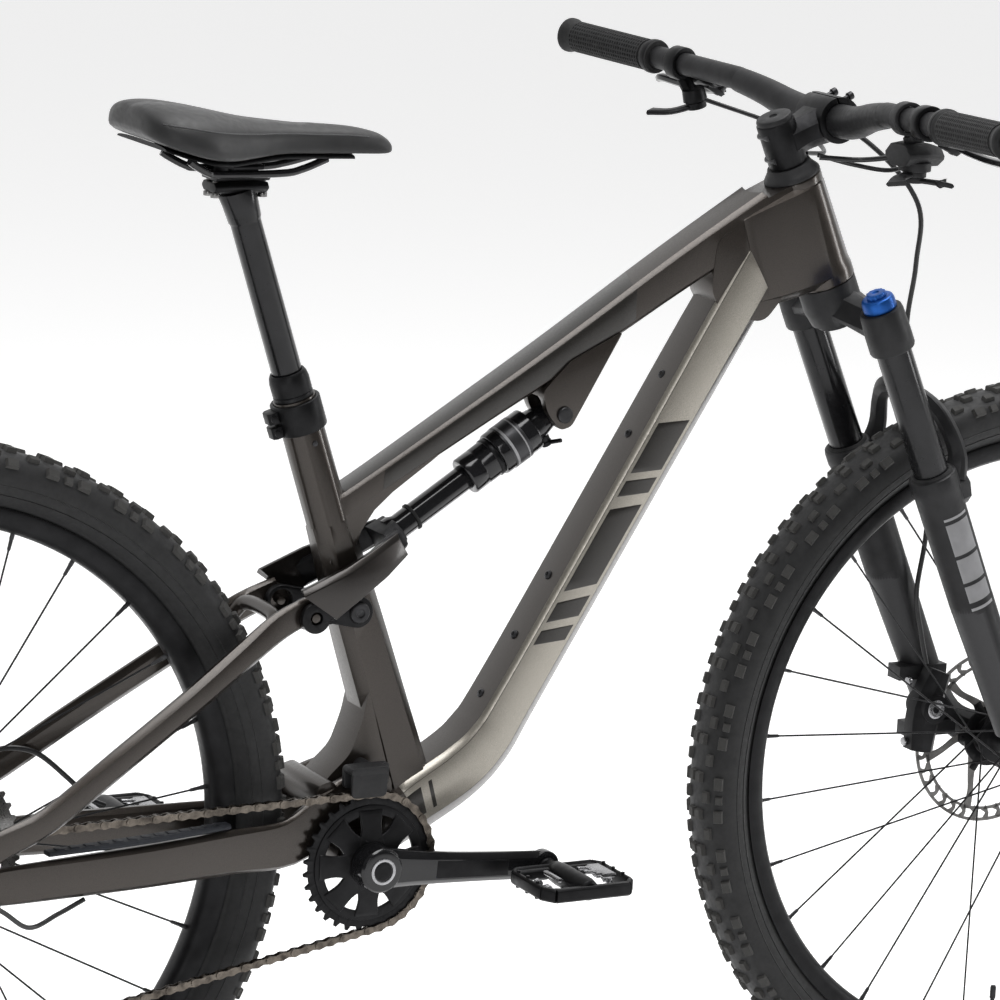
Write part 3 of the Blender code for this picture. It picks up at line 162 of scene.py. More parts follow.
def make_studio():
    mesh = bpy.data.meshes.new("floor")
    reach = 14.0
    mesh.from_pydata([(-reach, -reach, 0), (reach, -reach, 0), (reach, reach, 0), (-reach, reach, 0)], [],
                     [(0, 1, 2, 3)])
    floor = bpy.data.objects.new("floor", mesh)
    material = bpy.data.materials.new("floor_paper")
    material.use_nodes = True
    shader = material.node_tree.nodes["Principled BSDF"]
    shader.inputs["Base Color"].default_value = (0.93, 0.93, 0.93, 1.0)
    shader.inputs["Roughness"].default_value = 0.9
    shader.inputs["Emission Color"].default_value = (1.0, 1.0, 1.0, 1.0)
    shader.inputs["Emission Strength"].default_value = 0.34
    mesh.materials.append(material)
    bpy.context.scene.collection.objects.link(floor)
    world = bpy.data.worlds.new("studio")
    world.use_nodes = True
    world.node_tree.nodes["Background"].inputs["Color"].default_value = (1.0, 1.0, 1.0, 1.0)
    tree = world.node_tree
    coords = tree.nodes.new("ShaderNodeTexCoord")
    split = tree.nodes.new("ShaderNodeSeparateXYZ")
    fade = tree.nodes.new("ShaderNodeMapRange")
    fade.interpolation_type = 'SMOOTHSTEP'
    for key, value in (("From Min", -0.35), ("From Max", 0.45), ("To Min", 0.10), ("To Max", 1.0)):
        fade.inputs[key].default_value = value
    tree.links.new(coords.outputs["Generated"], split.inputs[0])
    tree.links.new(split.outputs["Y"], fade.inputs["Value"])
    tree.links.new(fade.outputs["Result"], tree.nodes["Background"].inputs["Strength"])
    bpy.context.scene.world = world
    area_light("overhead", (0.3, -0.2, 3.6), (0.1, 0.0, 0.6), (3.6, 1.2), 105.0)
    area_light("camera_side", (-2.2, -3.4, 1.9), (0.0, 0.0, 0.6), (0.7, 2.4), 26.0)
    area_light("front_rim", (3.2, -1.2, 1.7), (0.3, 0.0, 0.7), (0.5, 2.4), 40.0)
    bpy.context.scene.view_settings.view_transform = 'Standard'


# ---------------------------------------------------------------- materials

class Look:
    """Small helper that wires nodes into one Principled material."""

    def __init__(self, name, colour, roughness, metallic=0.0, coat=0.0, coat_roughness=0.1, sheen=0.0):
        self.material = bpy.data.materials.new(name)
        self.material.use_nodes = True
        self.tree = self.material.node_tree
        self.shader = self.tree.nodes["Principled BSDF"]
        self.colour = (*colour, 1.0)
        self.roughness = roughness
        self.set("Base Color", self.colour)
        self.set("Roughness", roughness)
        self.set("Metallic", metallic)
        self.set("Specular IOR Level", 0.28)
        if coat:
            self.set("Coat Weight", coat)
            self.set("Coat Roughness", coat_roughness)
        if sheen:
            self.set("Sheen Weight", sheen)
            self.set("Sheen Roughness", 0.5)
        self.coords = self.node("ShaderNodeTexCoord")
        self.height = None

    def set(self, socket, value):
        self.shader.inputs[socket].default_value = value

    def node(self, kind, **settings):
        made = self.tree.nodes.new(kind)
        for key, value in settings.items():
            if key in made.inputs:
                made.inputs[key].default_value = value
            else:
                setattr(made, key, value)
        return made

    def link(self, source, target):
        self.tree.links.new(source, target)

    def placed(self, texture, stretch):
        """Outputs of a texture that follows the object, scaled by stretch where it is given."""
        place = self.coords.outputs["Object"]
        if stretch:
            mapping = self.node("ShaderNodeMapping")
            mapping.inputs["Scale"].default_value = stretch
            self.link(place, mapping.inputs["Vector"])
            place = mapping.outputs["Vector"]
        self.link(place, texture.inputs["Vector"])
        return texture.outputs

    def noise(self, scale, detail=3.0, stretch=None):
        noise = self.node("ShaderNodeTexNoise", Scale=scale, Detail=detail)
        return self.placed(noise, stretch)["Fac"]

    def cells(self, scale, feature='F1', stretch=None):
        cells = self.node("ShaderNodeTexVoronoi", Scale=scale, feature=feature)
        return self.placed(cells, stretch)["Distance"]

    def ramp(self, source, stops):
        ramp = self.node("ShaderNodeValToRGB")
        band = ramp.color_ramp
        while len(band.elements) < len(stops):
            band.elements.new(0.5)
        for element, (place, colour) in zip(band.elements, stops):
            element.position = place
            element.color = colour if len(colour) == 4 else (*colour, 1.0)
        self.link(source, ramp.inputs["Fac"])
        return ramp.outputs["Color"]

    def spread(self, source, low, high, out_low, out_high):
        mapped = self.node("ShaderNodeMapRange")
        for key, value in (("From Min", low), ("From Max", high), ("To Min", out_low), ("To Max", out_high)):
            mapped.inputs[key].default_value = value
        self.link(source, mapped.inputs["Value"])
        return mapped.outputs["Result"]

    def mix(self, factor, first, second):
        mixed = self.node("ShaderNodeMix", data_type='RGBA')
        if isinstance(factor, float):
            mixed.inputs[0].default_value = factor
        else:
            self.link(factor, mixed.inputs[0])
        for value, socket in ((first, mixed.inputs[6]), (second, mixed.inputs[7])):
            if isinstance(value, tuple):
                socket.default_value = value if len(value) == 4 else (*value, 1.0)
            else:
                self.link(value, socket)
        return mixed.outputs[2]

    def mottle(self, source, amount):
        """Colour that varies round the base colour."""
        dark = tuple(c * (1 - amount) for c in self.colour[:3])
        light = tuple(min(1.0, c * (1 + amount)) for c in self.colour[:3])
        self.link(self.ramp(source, [(0.3, dark), (0.7, light)]), self.shader.inputs["Base Color"])

    def rough(self, source, amount):
        self.link(self.spread(source, 0.3, 0.7, self.roughness - amount, self.roughness + amount),
                  self.shader.inputs["Roughness"])

    def worn_edges(self, base, worn, low=0.52, high=0.62):
        """Edges that have been rubbed lighter."""
        point = self.node("ShaderNodeNewGeometry").outputs["Pointiness"]
        mask = self.spread(point, low, high, 0.0, 1.0)
        self.link(self.mix(mask, base, worn), self.shader.inputs["Base Color"])

    def bump(self, source, distance, strength=1.0):
        bump = self.node("ShaderNodeBump")
        bump.inputs["Strength"].default_value = strength
        bump.inputs["Distance"].default_value = distance
        self.link(source, bump.inputs["Height"])
        if self.height:
            self.link(self.height, bump.inputs["Normal"])
        self.height = bump.outputs["Normal"]
        self.link(self.height, self.shader.inputs["Normal"])


def black_metal(name, colour, roughness, grain=900.0, metallic=0.75, coat=0.0):
    look = Look(name, colour, roughness, metallic, coat)
    cloud = look.noise(60.0)
    dark = tuple(c * 0.85 for c in colour)
    light = tuple(c * 1.2 for c in colour)
    tone = look.ramp(cloud, [(0.35, dark), (0.65, light)])
    look.worn_edges(tone, tuple(min(1.0, c * 1.6 + 0.01) for c in colour), 0.55, 0.7)
    look.rough(look.noise(220.0), 0.06)
    look.bump(look.noise(grain, 4.0), 0.00006, 0.5)
    return look.material


def make_looks():
    looks = {}
    # The pale middle colour is a painted reflection: it stands for the bright floor mirrored in the near side
    # of the down tube, and is used only there.
    for name, core in (("frame_paint", (0.043, 0.036, 0.031)), ("painted_reflection", (0.33, 0.308, 0.268)),
                       ("dark_paint", (0.026, 0.0225, 0.0205))):
        paint = Look(name, core, 0.34, 0.8, coat=0.5, coat_roughness=0.16)
        flakes = paint.cells(2600.0)
        bright, dim = (tuple(min(1.0, c * k) for c in core) for k in (1.7, 0.6))
        tone = paint.ramp(flakes, [(0.0, bright), (0.35, core), (0.9, dim)])
        drift = paint.noise(5.0, 2.0)
        paint.link(paint.mix(paint.spread(drift, 0.35, 0.65, 0.0, 0.35), tone, tuple(c * 0.85 for c in core)),
                   paint.shader.inputs["Base Color"])
        paint.rough(paint.noise(420.0), 0.05)
        paint.bump(flakes, 0.00003, 0.35)
        looks[name] = paint.material

    panel = Look("panel_paint", (0.022, 0.020, 0.018), 0.36, 0.5, coat=0.5, coat_roughness=0.16)
    panel.mottle(panel.cells(2600.0), 0.35)
    panel.rough(panel.noise(420.0), 0.05)
    panel.bump(panel.noise(700.0), 0.00004, 0.3)
    looks["panel_paint"] = panel.material

    looks["black_alloy"] = black_metal("black_alloy", (0.013, 0.013, 0.0138), 0.42)
    looks["dark_alloy"] = black_metal("dark_alloy", (0.036, 0.036, 0.038), 0.40)
    looks["fork_black"] = black_metal("fork_black", (0.017, 0.017, 0.018), 0.48, 1400.0, 0.3)
    looks["black_gloss"] = black_metal("black_gloss", (0.010, 0.010, 0.011), 0.16, 300.0, 0.3, 0.4)
    looks["stanchion"] = black_metal("stanchion", (0.012, 0.012, 0.013), 0.22, 300.0, 0.5, 0.15)
    looks["blue_alloy"] = black_metal("blue_alloy", (0.010, 0.075, 0.30), 0.38, 900.0, 0.6)
    looks["grey_decal"] = black_metal("grey_decal", (0.16, 0.16, 0.165), 0.5, 1200.0, 0.1)
    looks["pale_decal"] = black_metal("pale_decal", (0.2, 0.2, 0.205), 0.5, 1200.0, 0.1)

    for name, colour, roughness in (("black_plastic", (0.015, 0.015, 0.016), 0.52),
                                    ("guard_rubber", (0.014, 0.016, 0.021), 0.6)):
        plastic = Look(name, colour, roughness)
        plastic.mottle(plastic.noise(90.0), 0.18)
        plastic.rough(plastic.noise(300.0), 0.07)
        plastic.bump(plastic.cells(1500.0), 0.00008, 0.4)
        looks[name] = plastic.material

    rubber = Look("rubber_black", (0.013, 0.013, 0.0135), 0.75, sheen=0.04)
    rubber.mottle(rubber.noise(140.0), 0.25)
    rubber.rough(rubber.noise(260.0), 0.1)
    rubber.bump(rubber.cells(1100.0), 0.00012, 0.5)
    looks["rubber_black"] = rubber.material

    tread = Look("tyre_tread", (0.018, 0.018, 0.0185), 0.78, sheen=0.03)
    dust = tread.noise(38.0, 5.0)
    base = tread.ramp(dust, [(0.35, (0.013, 0.013, 0.0135)), (0.7, (0.026, 0.0255, 0.025))])
    tread.worn_edges(base, (0.045, 0.044, 0.042), 0.53, 0.66)
    tread.rough(tread.noise(180.0), 0.1)
    tread.bump(tread.noise(520.0, 5.0), 0.0002, 0.5)
    looks["tyre_tread"] = tread.material

    wall = Look("tyre_wall", (0.014, 0.014, 0.0145), 0.6, sheen=0.03)
    wall.mottle(wall.noise(70.0), 0.2)
    wall.rough(wall.noise(240.0), 0.08)
    wall.bump(wall.noise(900.0, 3.0), 0.00008, 0.5)
    looks["tyre_wall"] = wall.material

    cover = Look("saddle_cover", (0.019, 0.019, 0.0195), 0.46, sheen=0.05)
    cover.mottle(cover.noise(45.0), 0.15)
    cover.rough(cover.noise(160.0), 0.07)
    cover.bump(cover.cells(950.0, 'DISTANCE_TO_EDGE'), 0.00012, 0.35)
    looks["saddle_cover"] = cover.material

    thread = Look("thread", (0.05, 0.05, 0.052), 0.7, sheen=0.3)
    thread.mottle(thread.noise(900.0), 0.3)
    thread.bump(thread.noise(2500.0), 0.0001, 0.5)
    looks["thread"] = thread.material

    for name, colour, roughness, streak in (("steel", (0.2, 0.197, 0.194), 0.32, 700.0),
                                            ("rotor_steel", (0.12, 0.117, 0.114), 0.36, 900.0),
                                            ("silver", (0.34, 0.34, 0.35), 0.3, 600.0)):
        steel = Look(name, colour, roughness, 1.0)
        steel.mottle(steel.noise(80.0, 4.0), 0.2)
        steel.rough(steel.noise(streak), 0.1)
        steel.bump(steel.noise(streak * 2), 0.00003, 0.4)
        looks[name] = steel.material

    chain = Look("chain_steel", (0.22, 0.195, 0.17), 0.34, 1.0)
    oil = chain.noise(110.0, 4.0)
    chain.link(chain.ramp(oil, [(0.3, (0.045, 0.039, 0.034)), (0.6, (0.14, 0.122, 0.104))]),
               chain.shader.inputs["Base Color"])
    chain.rough(chain.noise(300.0), 0.12)
    chain.bump(chain.noise(1500.0), 0.00004, 0.4)
    looks["chain_steel"] = chain.material

    hose = Look("hose_black", (0.016, 0.016, 0.017), 0.38, coat=0.2)
    hose.mottle(hose.noise(60.0), 0.2)
    hose.rough(hose.noise(200.0), 0.08)
    hose.bump(hose.noise(1200.0), 0.00004, 0.4)
    looks["hose_black"] = hose.material
    return looks


# ---------------------------------------------------------------- solid builders (bike millimetres)

def finish_mesh(bm):
    bmesh.ops.recalc_face_normals(bm, faces=bm.faces)
    return bm


def loft(rings, closed=False):
    """Solid skinned over rings with equal point counts; closed joins the last ring to the first."""
    bm = bmesh.new()
    rows = [[bm.verts.new(point) for point in ring] for ring in rings]
    count = len(rows[0])
    pairs = list(zip(rows, rows[1:])) + ([(rows[-1], rows[0])] if closed else [])
    for low, high in pairs:
        for i in range(count):
            j = (i + 1) % count
            bm.faces.new((low[i], low[j], high[j], high[i]))
    if not closed:
        bm.faces.new(rows[0])
        bm.faces.new(rows[-1])
    return finish_mesh(bm)


def plate(outline, y0, y1):
    return loft([[Vector((x, y, z)) for x, z in outline] for y in (y0, y1)])


def box(centre, size):
    cx, cy, cz = centre
    hx, hy, hz = (s / 2 for s in size)
    return plate([(cx - hx, cz - hz), (cx + hx, cz - hz), (cx + hx, cz + hz), (cx - hx, cz + hz)],
                 cy - hy, cy + hy)


def square_to(axis):
    axis = axis.normalized()
    helper = Vector((0, 0, 1)) if abs(axis.z) < 0.9 else Vector((1, 0, 0))
    first = axis.cross(helper).normalized()
    return first, axis.cross(first)


def sides_for(radius):
    for limit, sides in ((2.5, 10), (6.0, 18), (13.0, 28), (32.0, 48), (70.0, 64)):
        if radius < limit:
            return sides
    return 128


def circle(centre, axis, radius, sides):
    first, second = square_to(axis)
    return [centre + (first * math.cos(a) + second * math.sin(a)) * radius
            for a in (2 * math.pi * i / sides for i in range(sides))]


def rod(start, end, r0, r1=None, sides=None):
    start, end = Vector(start), Vector(end)
    axis = end - start
    sides = sides or sides_for(r0)
    return loft([circle(start, axis, r0, sides), circle(end, axis, r0 if r1 is None else r1, sides)])


def across(point, y0, y1, radius):
    return rod((point[0], y0, point[2]), (point[0], y1, point[2]), radius)


def turned(profile, centre, axis, sides=None):
    """Solid of revolution of a closed (radius, along) loop that stays off the axis."""
    sides = sides or sides_for(max(r for r, _ in profile))
    first, second = square_to(axis)
    axis = axis.normalized()
    rings = []
    for i in range(sides):
        a = 2 * math.pi * i / sides
        out = first * math.cos(a) + second * math.sin(a)
        rings.append([centre + out * r + axis * h for r, h in profile])
    return loft(rings, closed=True)


def spindle(profile, centre, axis, sides=None):
    """Solid of revolution of an open (radius, along) line, closed by flat ends."""
    sides = sides or sides_for(max(r for r, _ in profile))
    axis = axis.normalized()
    return loft([circle(centre + axis * h, axis, max(r, 0.05), sides) for r, h in profile])


def chamfered(width, depth, chamfer, lower=None):
    """Eight-sided tube section; lower is the chamfer along the bottom when it differs from the top's."""
    w, d, c = width / 2, depth / 2, chamfer
    e = chamfer if lower is None else lower
    return [(w, -d + e), (w, d - c), (w - c, d), (-w + c, d),
            (-w, d - c), (-w, -d + e), (-w + e, -d), (w - e, -d)]


def tangents(path):
    result = []
    for i in range(len(path)):
        before, after = path[max(i - 1, 0)], path[min(i + 1, len(path) - 1)]
        result.append((after - before).normalized())
    return result


def spline(values, t):
    """Catmull-Rom between evenly numbered values, which are vectors or tuples."""
    last = len(values) - 1
    i = min(int(t), last - 1)
    f = t - i
    pick = [Vector(values[max(0, min(last, k))]) for k in (i - 1, i, i + 1, i + 2)]
    if i == 0:
        pick[0] = pick[1] * 2 - pick[2]
    if i == last - 1:
        pick[3] = pick[2] * 2 - pick[1]
    a, b, c, d = pick
    return 0.5 * (2 * b + (c - a) * f + (2 * a - 5 * b + 4 * c - d) * f ** 2
                  + (3 * b - a - 3 * c + d) * f ** 3)


def beam(path, sizes, side=AXIS_Y, steps=1):
    """Tube with chamfered() sections, one tuple of its arguments per station; steps smooths between them."""
    if steps > 1:
        count = (len(path) - 1) * steps
        spots = [i / steps for i in range(count + 1)]
        path = [spline(path, t) for t in spots]
        sizes = [tuple(spline(sizes, t)) for t in spots]
    path = [Vector(point) for point in path]
    rings = []
    for point, tangent, size in zip(path, tangents(path), sizes):
        across_dir = (side - tangent * side.dot(tangent)).normalized()
        up = tangent.cross(across_dir)
        rings.append([point + across_dir * a + up * b for a, b in chamfered(*size)])
    return loft(rings)


def pipe(path, radii, sides=None):
    path = [Vector(point) for point in path]
    if not isinstance(radii, (list, tuple)):
        radii = [radii] * len(path)
    sides = sides or sides_for(max(radii))
    first, _ = square_to(tangents(path)[0])
    rings = []
    for point, tangent, radius in zip(path, tangents(path), radii):
        first = (first - tangent * first.dot(tangent)).normalized()
        second = tangent.cross(first)
        rings.append([point + (first * math.cos(a) + second * math.sin(a)) * radius
                      for a in (2 * math.pi * i / sides for i in range(sides))])
    return loft(rings)


def smooth_path(points, steps=8):
    points = [Vector(point) for point in points]
    return [spline(points, i / steps) for i in range((len(points) - 1) * steps + 1)]


def mirrored(bm):
    copy = bm.copy()
    bmesh.ops.transform(copy, matrix=MIRROR_Y, verts=copy.verts)
    return finish_mesh(copy)


def both(bm):
    return [bm, mirrored(bm)]


def spun(bm, centre, count, axis='Y'):
    copies = []
    for i in range(count):
        copy = bm.copy()
        turn = Matrix.Rotation(2 * math.pi * i / count, 4, axis)
        place = Matrix.Translation(centre) @ turn @ Matrix.Translation(-centre)
        bmesh.ops.transform(copy, matrix=place, verts=copy.verts)
        copies.append(copy)
    bm.free()
    return copies


def object_from(name, solids):
    """One object from solids; ownership of the solids passes here."""
    whole = bmesh.new()
    for bm in solids:
        part = bpy.data.meshes.new("part")
        bm.to_mesh(part)
        bm.free()
        whole.from_mesh(part)
        bpy.data.meshes.remove(part)
    for vert in whole.verts:
        vert.co = Vector((vert.co.x * MM + REAR_X, vert.co.y * MM, vert.co.z * MM))
    mesh = bpy.data.meshes.new(name)
    whole.to_mesh(mesh)
    whole.free()
    thing = bpy.data.objects.new(name, mesh)
    bpy.context.scene.collection.objects.link(thing)
    return thing


def settle(thing):
    """Applies every modifier of an object."""
    bpy.context.view_layer.update()
    graph = bpy.context.evaluated_depsgraph_get()
    mesh = bpy.data.meshes.new_from_object(thing.evaluated_get(graph))
    old = thing.data
    thing.modifiers.clear()
    thing.data = mesh
    bpy.data.meshes.remove(old)
    mesh.name = thing.name


def make(name, body, look, solids, cuts=(), nodes=(), bevel=0.5, smooth=32.0, unite=False, segments=2):
    """A finished visual piece that rides on a CAD body and may stand for CAD nodes."""
    solids = list(solids)
    if unite or cuts:
        thing = object_from(name, [solids[0]])
        tools = []
        for operation, group in (('UNION', solids[1:]), ('DIFFERENCE', cuts)):
            for bm in group:
                tool = object_from("tool", [bm])
                tools.append(tool)
                modifier = thing.modifiers.new("cut", 'BOOLEAN')
                modifier.operation = operation
                modifier.solver = 'EXACT'
                modifier.object = tool
        settle(thing)
        for tool in tools:
            bpy.data.objects.remove(tool, do_unlink=True)
    else:
        thing = object_from(name, solids)
    if bevel:
        modifier = thing.modifiers.new("bevel", 'BEVEL')
        modifier.width = bevel * MM
        modifier.segments = segments
        modifier.limit_method = 'ANGLE'
        modifier.angle_limit = math.radians(smooth)
        modifier.use_clamp_overlap = True
        settle(thing)
    mesh = thing.data
    mesh.materials.clear()
    mesh.materials.append(LOOKS[look])
    mesh.polygons.foreach_set("use_smooth", [True] * len(mesh.polygons))
    mesh.set_sharp_from_angle(angle=math.radians(smooth))
    if body:
        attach(thing, body)
    for node in nodes:
        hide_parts(node)
    return thing


def gear_outline(teeth, root, tip):
    """Angles and radii round a sprocket: root flat, flank, narrow tip."""
    outline = []
    for i in range(teeth):
        for part, radius in ((0.0, root), (0.24, root), (0.40, tip), (0.60, tip), (0.76, root)):
            outline.append((2 * math.pi * (i + part) / teeth, radius))
    return outline


def sprocket(centre, teeth, tip, y0, y1, bore, tooth=4.6):
    """A toothed ring about Y."""
    outline = gear_outline(teeth, tip - tooth, tip)
    rings = []
    for angle, radius in outline:
        out = Vector((math.cos(angle), 0.0, math.sin(angle)))
        rings.append([centre + out * r + AXIS_Y * y for r, y in ((bore, y0), (radius, y0), (radius, y1),
                (bore, y1))])
    for ring in rings:
        for point in ring:
            point.y -= centre.y
    return loft(rings, closed=True)


# ---------------------------------------------------------------- wheels

TYRE_WALL = [(309.6, 12.6), (314, 13.4), (320.5, 14.0), (324, 17.5), (329, 23.5), (335, 27.6), (343, 29.6),
             (351, 29.4), (358, 26.6), (363.5, 21.0), (367.0, 12.5), (368.2, 4.5)]
TYRE_LINING = [(311.5, 10.6), (321.5, 11.6), (330, 20.5), (345, 26.0), (358, 23.0), (364.5, 11.5)]


def both_sides(half):
    return half + [(r, -y) for r, y in reversed(half)]


def knob(centre, angle, radius, y, lean, size, height):
    """A tread block: frustum standing on the casing, leaning out towards its own side."""
    around = Vector((-math.sin(angle), 0.0, math.cos(angle)))
    out = Vector((math.cos(angle), 0.0, math.sin(angle)))
    normal = (out * math.cos(lean) + AXIS_Y * math.sin(lean)).normalized()
    sideways = around.cross(normal).normalized()
    place = centre + out * radius + AXIS_Y * y
    length, width = size
    rings = []
    for h, shrink in ((-1.2, 1.12), (height * 0.75, 1.0), (height, 0.9)):
        rings.append([place + normal * h + around * (length / 2 * shrink * a)
                      + sideways * (width / 2 * shrink * b)
                      for a, b in ((-1, -1), (1, -1), (1, 1), (-1, 1))])
    return loft(rings)


def tread_blocks(centre, count=62):
    """Centre pairs, staggered shoulder blocks and square side blocks."""
    blocks = []
    for i in range(count):
        step = 2 * math.pi / count
        a = i * step
        wide = i % 2
        blocks.append(knob(centre, a, 368.0, 5.4, 0.06, (9.5, 7.6), 4.2))
        blocks.append(knob(centre, a, 368.0, -5.4, -0.06, (9.5, 7.6), 4.2))
        gap = 14.6 if wide else 16.0
        for side in (1, -1):
            blocks.append(knob(centre, a + step * 0.5, 365.6 if wide else 365.0, side * gap, side * 0.42,
                               (10.5, 6.4), 4.6))
            blocks.append(knob(centre, a + step * (0.1 if wide else 0.0), 359.2, side * 24.6, side * 0.86,
                               (11.5, 8.2), 4.4))
            if wide:
                blocks.append(knob(centre, a + step * 0.55, 358.4, side * 24.9, side * 0.9, (7.5, 6.5), 3.8))
    return blocks


def make_wheel(prefix, centre, body, flanges, rotor_y, half_width, bore):
    make(prefix + "_tyre_casing", body, "tyre_wall",
         [turned(both_sides(TYRE_WALL) + list(reversed(both_sides(TYRE_LINING))), centre, AXIS_Y, 160),
          *[turned([(r - 0.8, s * (y - 0.3)), (r, s * (y + 0.5)), (r + 0.8, s * (y - 0.3))], centre, AXIS_Y,
                   160)
            for r, y in ((331.5, 25.6), (340.5, 29.2)) for s in (1, -1)]],
         nodes=[prefix + "_tyre"], bevel=0, smooth=60.0)
    make(prefix + "_tyre_tread", body, "tyre_tread", tread_blocks(centre), bevel=0, smooth=30.0)
    rim = both_sides([(298.4, 4.0), (299.2, 8.5), (303, 13.2), (309, 15.2), (317.6, 16.9), (319.4, 16.2),
                      (319.4, 14.9), (315, 14.7), (304.5, 12.4)])
    valve_at = centre + Vector((0, 0, -297.5))
    nipples = []
    spokes = []
    for flange_y, flange_r, side in ((flanges[0], 22.0, 1.0), (flanges[1], 24.0, -1.0)):
        count = 14
        for i in range(count):
            rim_angle = 2 * math.pi * (i + (0.25 if side > 0 else 0.75)) / count
            lead = 1.0 if i % 2 else -1.0
            hub_angle = rim_angle + lead * math.radians(68)
            y = flange_y + side * (1.2 if lead > 0 else -1.2)
            inner = centre + Vector((math.cos(hub_angle) * flange_r, y, math.sin(hub_angle) * flange_r))
            outer = centre + Vector((math.cos(rim_angle) * 299.0, side * 2.5, math.sin(rim_angle) * 299.0))
            line = (inner - outer).normalized()
            spokes.append(rod(inner, outer, 0.95, sides=8))
            nipples.append(spindle([(1.0, 16.5), (1.7, 14.5), (1.9, 6.0), (2.2, 5.0), (2.2, 0.0)], outer, line,
                                   8))
            spokes.append(spindle([(1.9, -2.0), (2.1, -1.0), (1.9, 0.6)], inner, AXIS_Y * (side * lead), 10))
    make(prefix + "_rim_shell", body, "black_alloy", [turned(rim, centre, AXIS_Y, 160)],
         nodes=[prefix + "_rim"],
         bevel=0, smooth=40.0)
    make(prefix + "_nipples", body, "dark_alloy",
         nipples + [spindle([(3.0, 0), (3.0, 6), (2.2, 8), (2.2, 32), (3.1, 33), (3.1, 44), (2.4, 46)],
                            valve_at - Vector((0, 0, 2)), Vector((0, 0, 1)), 16)], bevel=0)
    left, right = flanges
    shell = [(bore, half_width[0]), (10.5, half_width[0]), (10.5, half_width[0] + 2), (13.0, right - 6),
             (15, right - 3.4),
             (26.4, right - 1.8), (27, right - 1), (27, right + 1), (26.4, right + 1.8), (17, right + 3.4),
             (13.5, right + 8),
             (12.6, (right + left) / 2), (13.5, left - 8), (17, left - 3.4), (24.4, left - 1.8), (25, left - 1),
             (25, left + 1), (24.4, left + 1.8), (20.5, left + 3.4), (20.5, rotor_y + 3.4), (19.6, rotor_y + 4),
             (13.0, rotor_y + 4.4), (10.5, rotor_y + 5), (10.5, half_width[1]), (bore, half_width[1])]
    make(prefix + "_hub_shell", body, "black_alloy", [turned(shell, centre, AXIS_Y)] + spokes,
         nodes=[prefix + "_hub"],
         bevel=0, smooth=40.0)
    make_rotor(prefix, centre, body, rotor_y)


def make_rotor(prefix, centre, body, y):
    """Braking band of two rings joined by slanting webs, on a six-armed spider."""
    mid = Vector((centre.x, y, centre.z))
    parts = [turned([(r0, y - 0.9), (r1, y - 0.9), (r1, y + 0.9), (r0, y + 0.9)], centre, AXIS_Y, 128)
             for r0, r1 in ((87.0, 90.0), (75.2, 78.0))]
    web = beam([mid + Vector((76.5, 0, -1.5)), mid + Vector((82.0, 0, 3.0)), mid + Vector((88.5, 0, 1.0))],
               [(1.8, 6.4, 0.2), (1.8, 3.6, 0.2), (1.8, 6.4, 0.2)], steps=3)
    parts += spun(web, mid, 36)
    arm = beam([mid + Vector((27, 0, -6)), mid + Vector((44, 0, 2)), mid + Vector((60, 0, 12)),
                mid + Vector((76.5, 0, 18))],
               [(1.8, 13, 0.3), (1.8, 7.5, 0.3), (1.8, 6.4, 0.3), (1.8, 10, 0.3)], steps=4)
    parts += spun(arm, mid, 6)
    make(prefix + "_rotor_band", body, "rotor_steel", parts, nodes=[prefix + "_rotor"], bevel=0, smooth=30.0)
    carrier = [turned([(21.5, y - 1.4), (32, y - 1.4), (32, y + 1.4), (21.5, y + 1.4)], centre, AXIS_Y)]
    lug = plate([(centre.x + 24, centre.z - 5), (centre.x + 40, centre.z - 4), (centre.x + 40, centre.z + 4),
                 (centre.x + 24, centre.z + 5)], y - 1.5, y + 1.5)
    carrier += spun(lug, mid, 6)
    carrier += spun(rod(mid + Vector((36, -2.4, 0)), mid + Vector((36, 2.4, 0)), 3.0), mid, 6)
    carrier.append(turned([(14.0, y + 1.4), (21.0, y + 1.4), (22.0, y + 2.6), (21.0, y + 4.4), (14.0, y + 4.4)],
                          centre, AXIS_Y))
    make(prefix + "_rotor_spider", body, "black_alloy", carrier, bevel=0.3)


def make_wheels():
    make_wheel("front", FRONT_AXLE, "front_wheel", (24.0, -30.0), 39.6, (-54.7, 54.7), 7.8)
    make_wheel("rear", REAR_AXLE, "rear_wheel", (38.0, -18.0), 58.8, (-26.0, 73.7), 6.8)


COG_TEETH = (50, 42, 36, 32, 28, 24, 21, 18, 16, 14, 12)
CHAIN_PITCH = 12.7


def make_cassette():
    cogs = []
    pitch = (62.2 - 29.0) / (len(COG_TEETH) - 1)
    for i, teeth in enumerate(COG_TEETH):
        pitch_r = CHAIN_PITCH / (2 * math.sin(math.pi / teeth))
        y = -29.0 - i * pitch
        bore = max(16.2, pitch_r - 15.0) if i < 8 else 15.5
        tip = pitch_r + 1.6 if i < len(COG_TEETH) - 1 else pitch_r + 0.2
        cogs.append(sprocket(REAR_AXLE, teeth, tip, y - 0.9, y + 0.9, bore, 3.6))
        if i < 8:
            spoke = plate([(REAR_AXLE.x + 15, REAR_AXLE.z - 3), (REAR_AXLE.x + bore + 2, REAR_AXLE.z - 4.5),
                           (REAR_AXLE.x + bore + 2, REAR_AXLE.z + 4.5), (REAR_AXLE.x + 15, REAR_AXLE.z + 3)],
                          y - 0.8, y + 0.8)
            cogs += spun(spoke, REAR_AXLE, 6)
    make("cassette_cogs", "cassette_body", "steel", cogs, nodes=["cassette"], bevel=0, smooth=25.0)
    make("cassette_core", "cassette_body", "dark_alloy",
         [turned([(6.8, -27), (16, -27), (16, -64.5), (13.5, -65), (13.5, -73.5), (6.8, -73.5)], REAR_AXLE,
                 AXIS_Y)],
         bevel=0.4)


# ---------------------------------------------------------------- drivetrain

